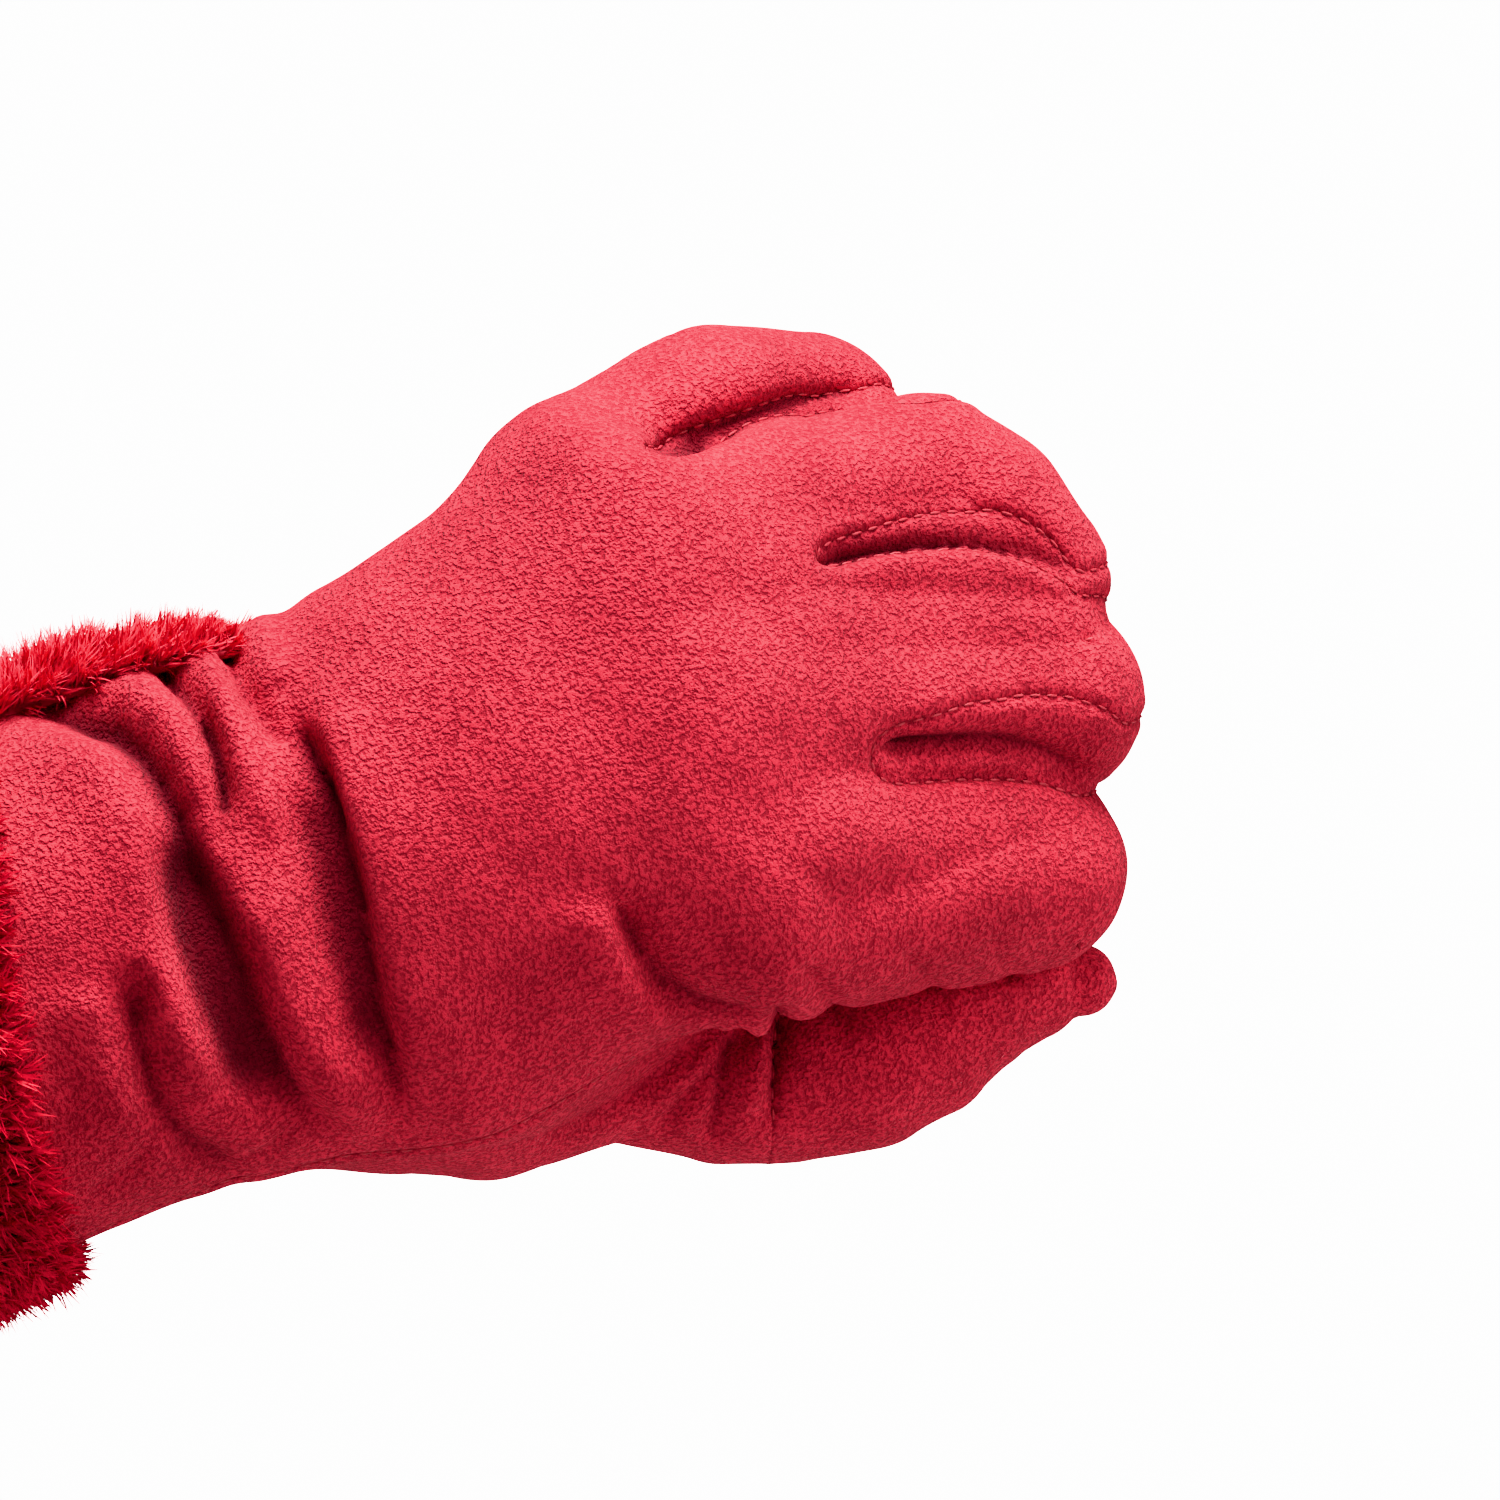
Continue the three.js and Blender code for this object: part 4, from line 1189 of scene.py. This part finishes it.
# The plush strip along the little-finger side of the cuff, thinner towards the hand.
ventForm = {
    "from": -42.0,  # degrees round the cuff, 0 at the little-finger side
    "to": 14.0,
    "steps": 22,
    "edge": 0.3,  # share of its thickness that is left at its edges
    "sunk": -0.8,  # how far its underside lies in the fleece
    "strands": {
        "Density": 7.0e6,
        "Length": 0.0062,
        "Length Low": 0.6,
        "Width": 0.0004,
        "Bend": 0.4,
        "Segments": 3,
        "Comb": (0.8, -0.15, 0.1),
        "Sway": 1.4,
        "Sway Scale": 95.0,
        "Scatter": 0.3,
        "Tuft Scale": 320.0,
        "Tuft Pull": 0.7,
        "Seed": seed + 1,
    },
}
ventSections = readTable(
    ("x", "thick", "cover"),
    [
        (-34, 1.8, 1), (-26, 2.2, 1), (-21, 2.4, 1), (-16, 2.4, 1), (-11, 2.2, 0.95),
        (-6, 1.8, 0.9), (-1, 1.3, 0.75), (4, 0.8, 0.55), (7, 0.5, 0.4),
    ],
)


def makeVent(tree, plush):
    share = np.linspace(0, 1, ventForm["steps"])
    degrees = ventForm["from"] + (ventForm["to"] - ventForm["from"]) * share
    crown = ventForm["edge"] + (1 - ventForm["edge"]) * np.sin(math.pi * share)
    rings = []
    cover = []
    for x, thick, long in zip(*ventSections.values()):
        along = np.full(len(share), x)
        top = outlinePoint(along, degrees, thick * crown)
        under = outlinePoint(along, degrees, ventForm["sunk"])
        rings.append(np.concatenate([top, under[::-1]]))
        cover.append(np.concatenate([np.full(len(share), long), np.zeros(len(share))]))
    strip = meshFromRings("fur_vent", np.array(rings), False, cover)
    return growPlush(tree, strip, plush, ventForm["strands"])


viewForm = {
    "tilt": 18,  # degrees that the glove points up in the frame
    "away": 1.5,  # from the glove, m
    "width": 0.2,  # what the frame takes in, m
    "sensor": 36,
    "x": 0.0676,  # the middle of the frame
    "z": -0.0024,
}
tilt = math.radians(viewForm["tilt"])
frameUp = Vector((math.sin(tilt), 0, math.cos(tilt)))


# The camera looks straight along +Y at the back of the hand.
def makeCamera():
    right = Vector((math.cos(tilt), 0, -math.sin(tilt)))
    back = Vector((0, -1, 0))
    camera = newObject("camera", bpy.data.cameras.new("camera"))
    camera.data.sensor_width = viewForm["sensor"]
    camera.data.lens = viewForm["sensor"] * viewForm["away"] / viewForm["width"]
    camera.data.clip_start = 0.05
    camera.data.clip_end = 50
    matrix = Matrix((right, frameUp, back)).transposed().to_4x4()
    matrix.translation = Vector((viewForm["x"], -viewForm["away"], viewForm["z"]))
    camera.matrix_world = matrix
    bpy.context.scene.camera = camera


studio = {
    "aim": (0.05, 0, 0),
    "fill": 0.04,  # strength of the light from all round
    "backdrop": 5.0,  # how bright the world and floor are to the camera
    "floorLevel": -0.3,
    "floorReach": 6.0,
    "floorGrey": (0.5, 0.5, 0.5, 1),
    "white": (1, 1, 1, 1),
}
lamps = [
    # name, way up the frame, further way in X, Y and Z, size in m, power in W
    ("keyLight", 1.1, (0, -0.31, 0), 0.7, 51),
    ("sideLight", 0, (0.9, -0.35, 0.1), 0.6, 6),
    ("lowLight", 0, (-0.9, -0.2, -0.2), 0.16, 1.4),
]


def addLamp(name, place, size, power):
    light = bpy.data.lights.new(name, "AREA")
    light.shape = "DISK"
    light.size = size
    light.energy = power
    lamp = newObject(name, light)
    lamp.location = place
    lamp.rotation_mode = "QUATERNION"
    lamp.rotation_quaternion = (Vector(studio["aim"]) - place).to_track_quat("-Z", "Y")


# One strength for what the camera sees, and another for the light that falls on the glove.
def strengthFor(tree, lighting):
    seen = addNode(tree, "ShaderNodeLightPath").outputs["Is Camera Ray"]
    return mapRange(tree, seen, 0.0, 1.0, lighting, studio["backdrop"])


def makeStudio():
    scene = bpy.context.scene
    scene.view_settings.view_transform = "Khronos PBR Neutral"
    scene.view_settings.look = "None"
    scene.world = bpy.data.worlds.new("studio")
    scene.world.use_nodes = True
    tree = scene.world.node_tree
    background = tree.nodes["Background"]
    background.inputs["Color"].default_value = studio["white"]
    tree.links.new(strengthFor(tree, studio["fill"]), background.inputs["Strength"])
    for name, upFrame, offset, size, power in lamps:
        place = Vector(studio["aim"]) + frameUp * upFrame + Vector(offset)
        addLamp(name, place, size, power)

    material, tree, shader = newMaterial("paleFloor", {
        "Base Color": studio["floorGrey"],
        "Emission Color": studio["white"],
    })
    tree.links.new(strengthFor(tree, 0.0), shader.inputs["Emission Strength"])
    reach, level = studio["floorReach"], studio["floorLevel"]
    corners = [(x * reach, y * reach, level) for x, y in ((-1, -1), (1, -1), (1, 1), (-1, 1))]
    mesh = bpy.data.meshes.new("floor")
    mesh.from_pydata(corners, [], [(0, 1, 2, 3)])
    mesh.materials.append(material)
    floor = newObject("floor", mesh)
    print("studio:", len(lamps), "lamps")


# The lining lies one wall inside the cloth, along smoothed normals.
def liningOf(points, quads, normals):
    inward = normals
    edges = edgesOf(quads)
    for i in range(6):
        inward = relax(inward, edges, 0.6)
    inward /= np.maximum(np.linalg.norm(inward, axis=1), 1e-6)[:, None]
    return points - inward * gloveForm["wall"]


def main():
    makeCamera()
    makeStudio()
    fleece = makeFleece(makeGrainGroup())
    points, quads, piece, seamAway, lift, sewn = makeGlove()
    marks = {"seamAway": seamAway, "foldLift": lift}
    normals = normalsOf(points, quads)
    lining = liningOf(points, quads, normals)
    for number, name in enumerate(pieceNames):
        shell = makeShell(name + "_fleece", points, lining, quads[piece == number], marks)
        shell.data.materials.append(fleece)
        if name == "back_panel":
            joinMesh(shell, makeStitches(points, normals, sewn))
        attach(shell, "root")
        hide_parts(name)
        print("shell:", name, len(shell.data.polygons))
    strands = makeStrandTree()
    for name, make, look in (("fur_hem", makeHem, hemLook), ("fur_vent", makeVent, ventLook)):
        fur = make(strands, makePlush(name + "Red", look))
        fur.name = name + "_plush"
        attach(fur, "root")
        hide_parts(name)
        print("plush:", name, len(fur.data.polygons))


main()
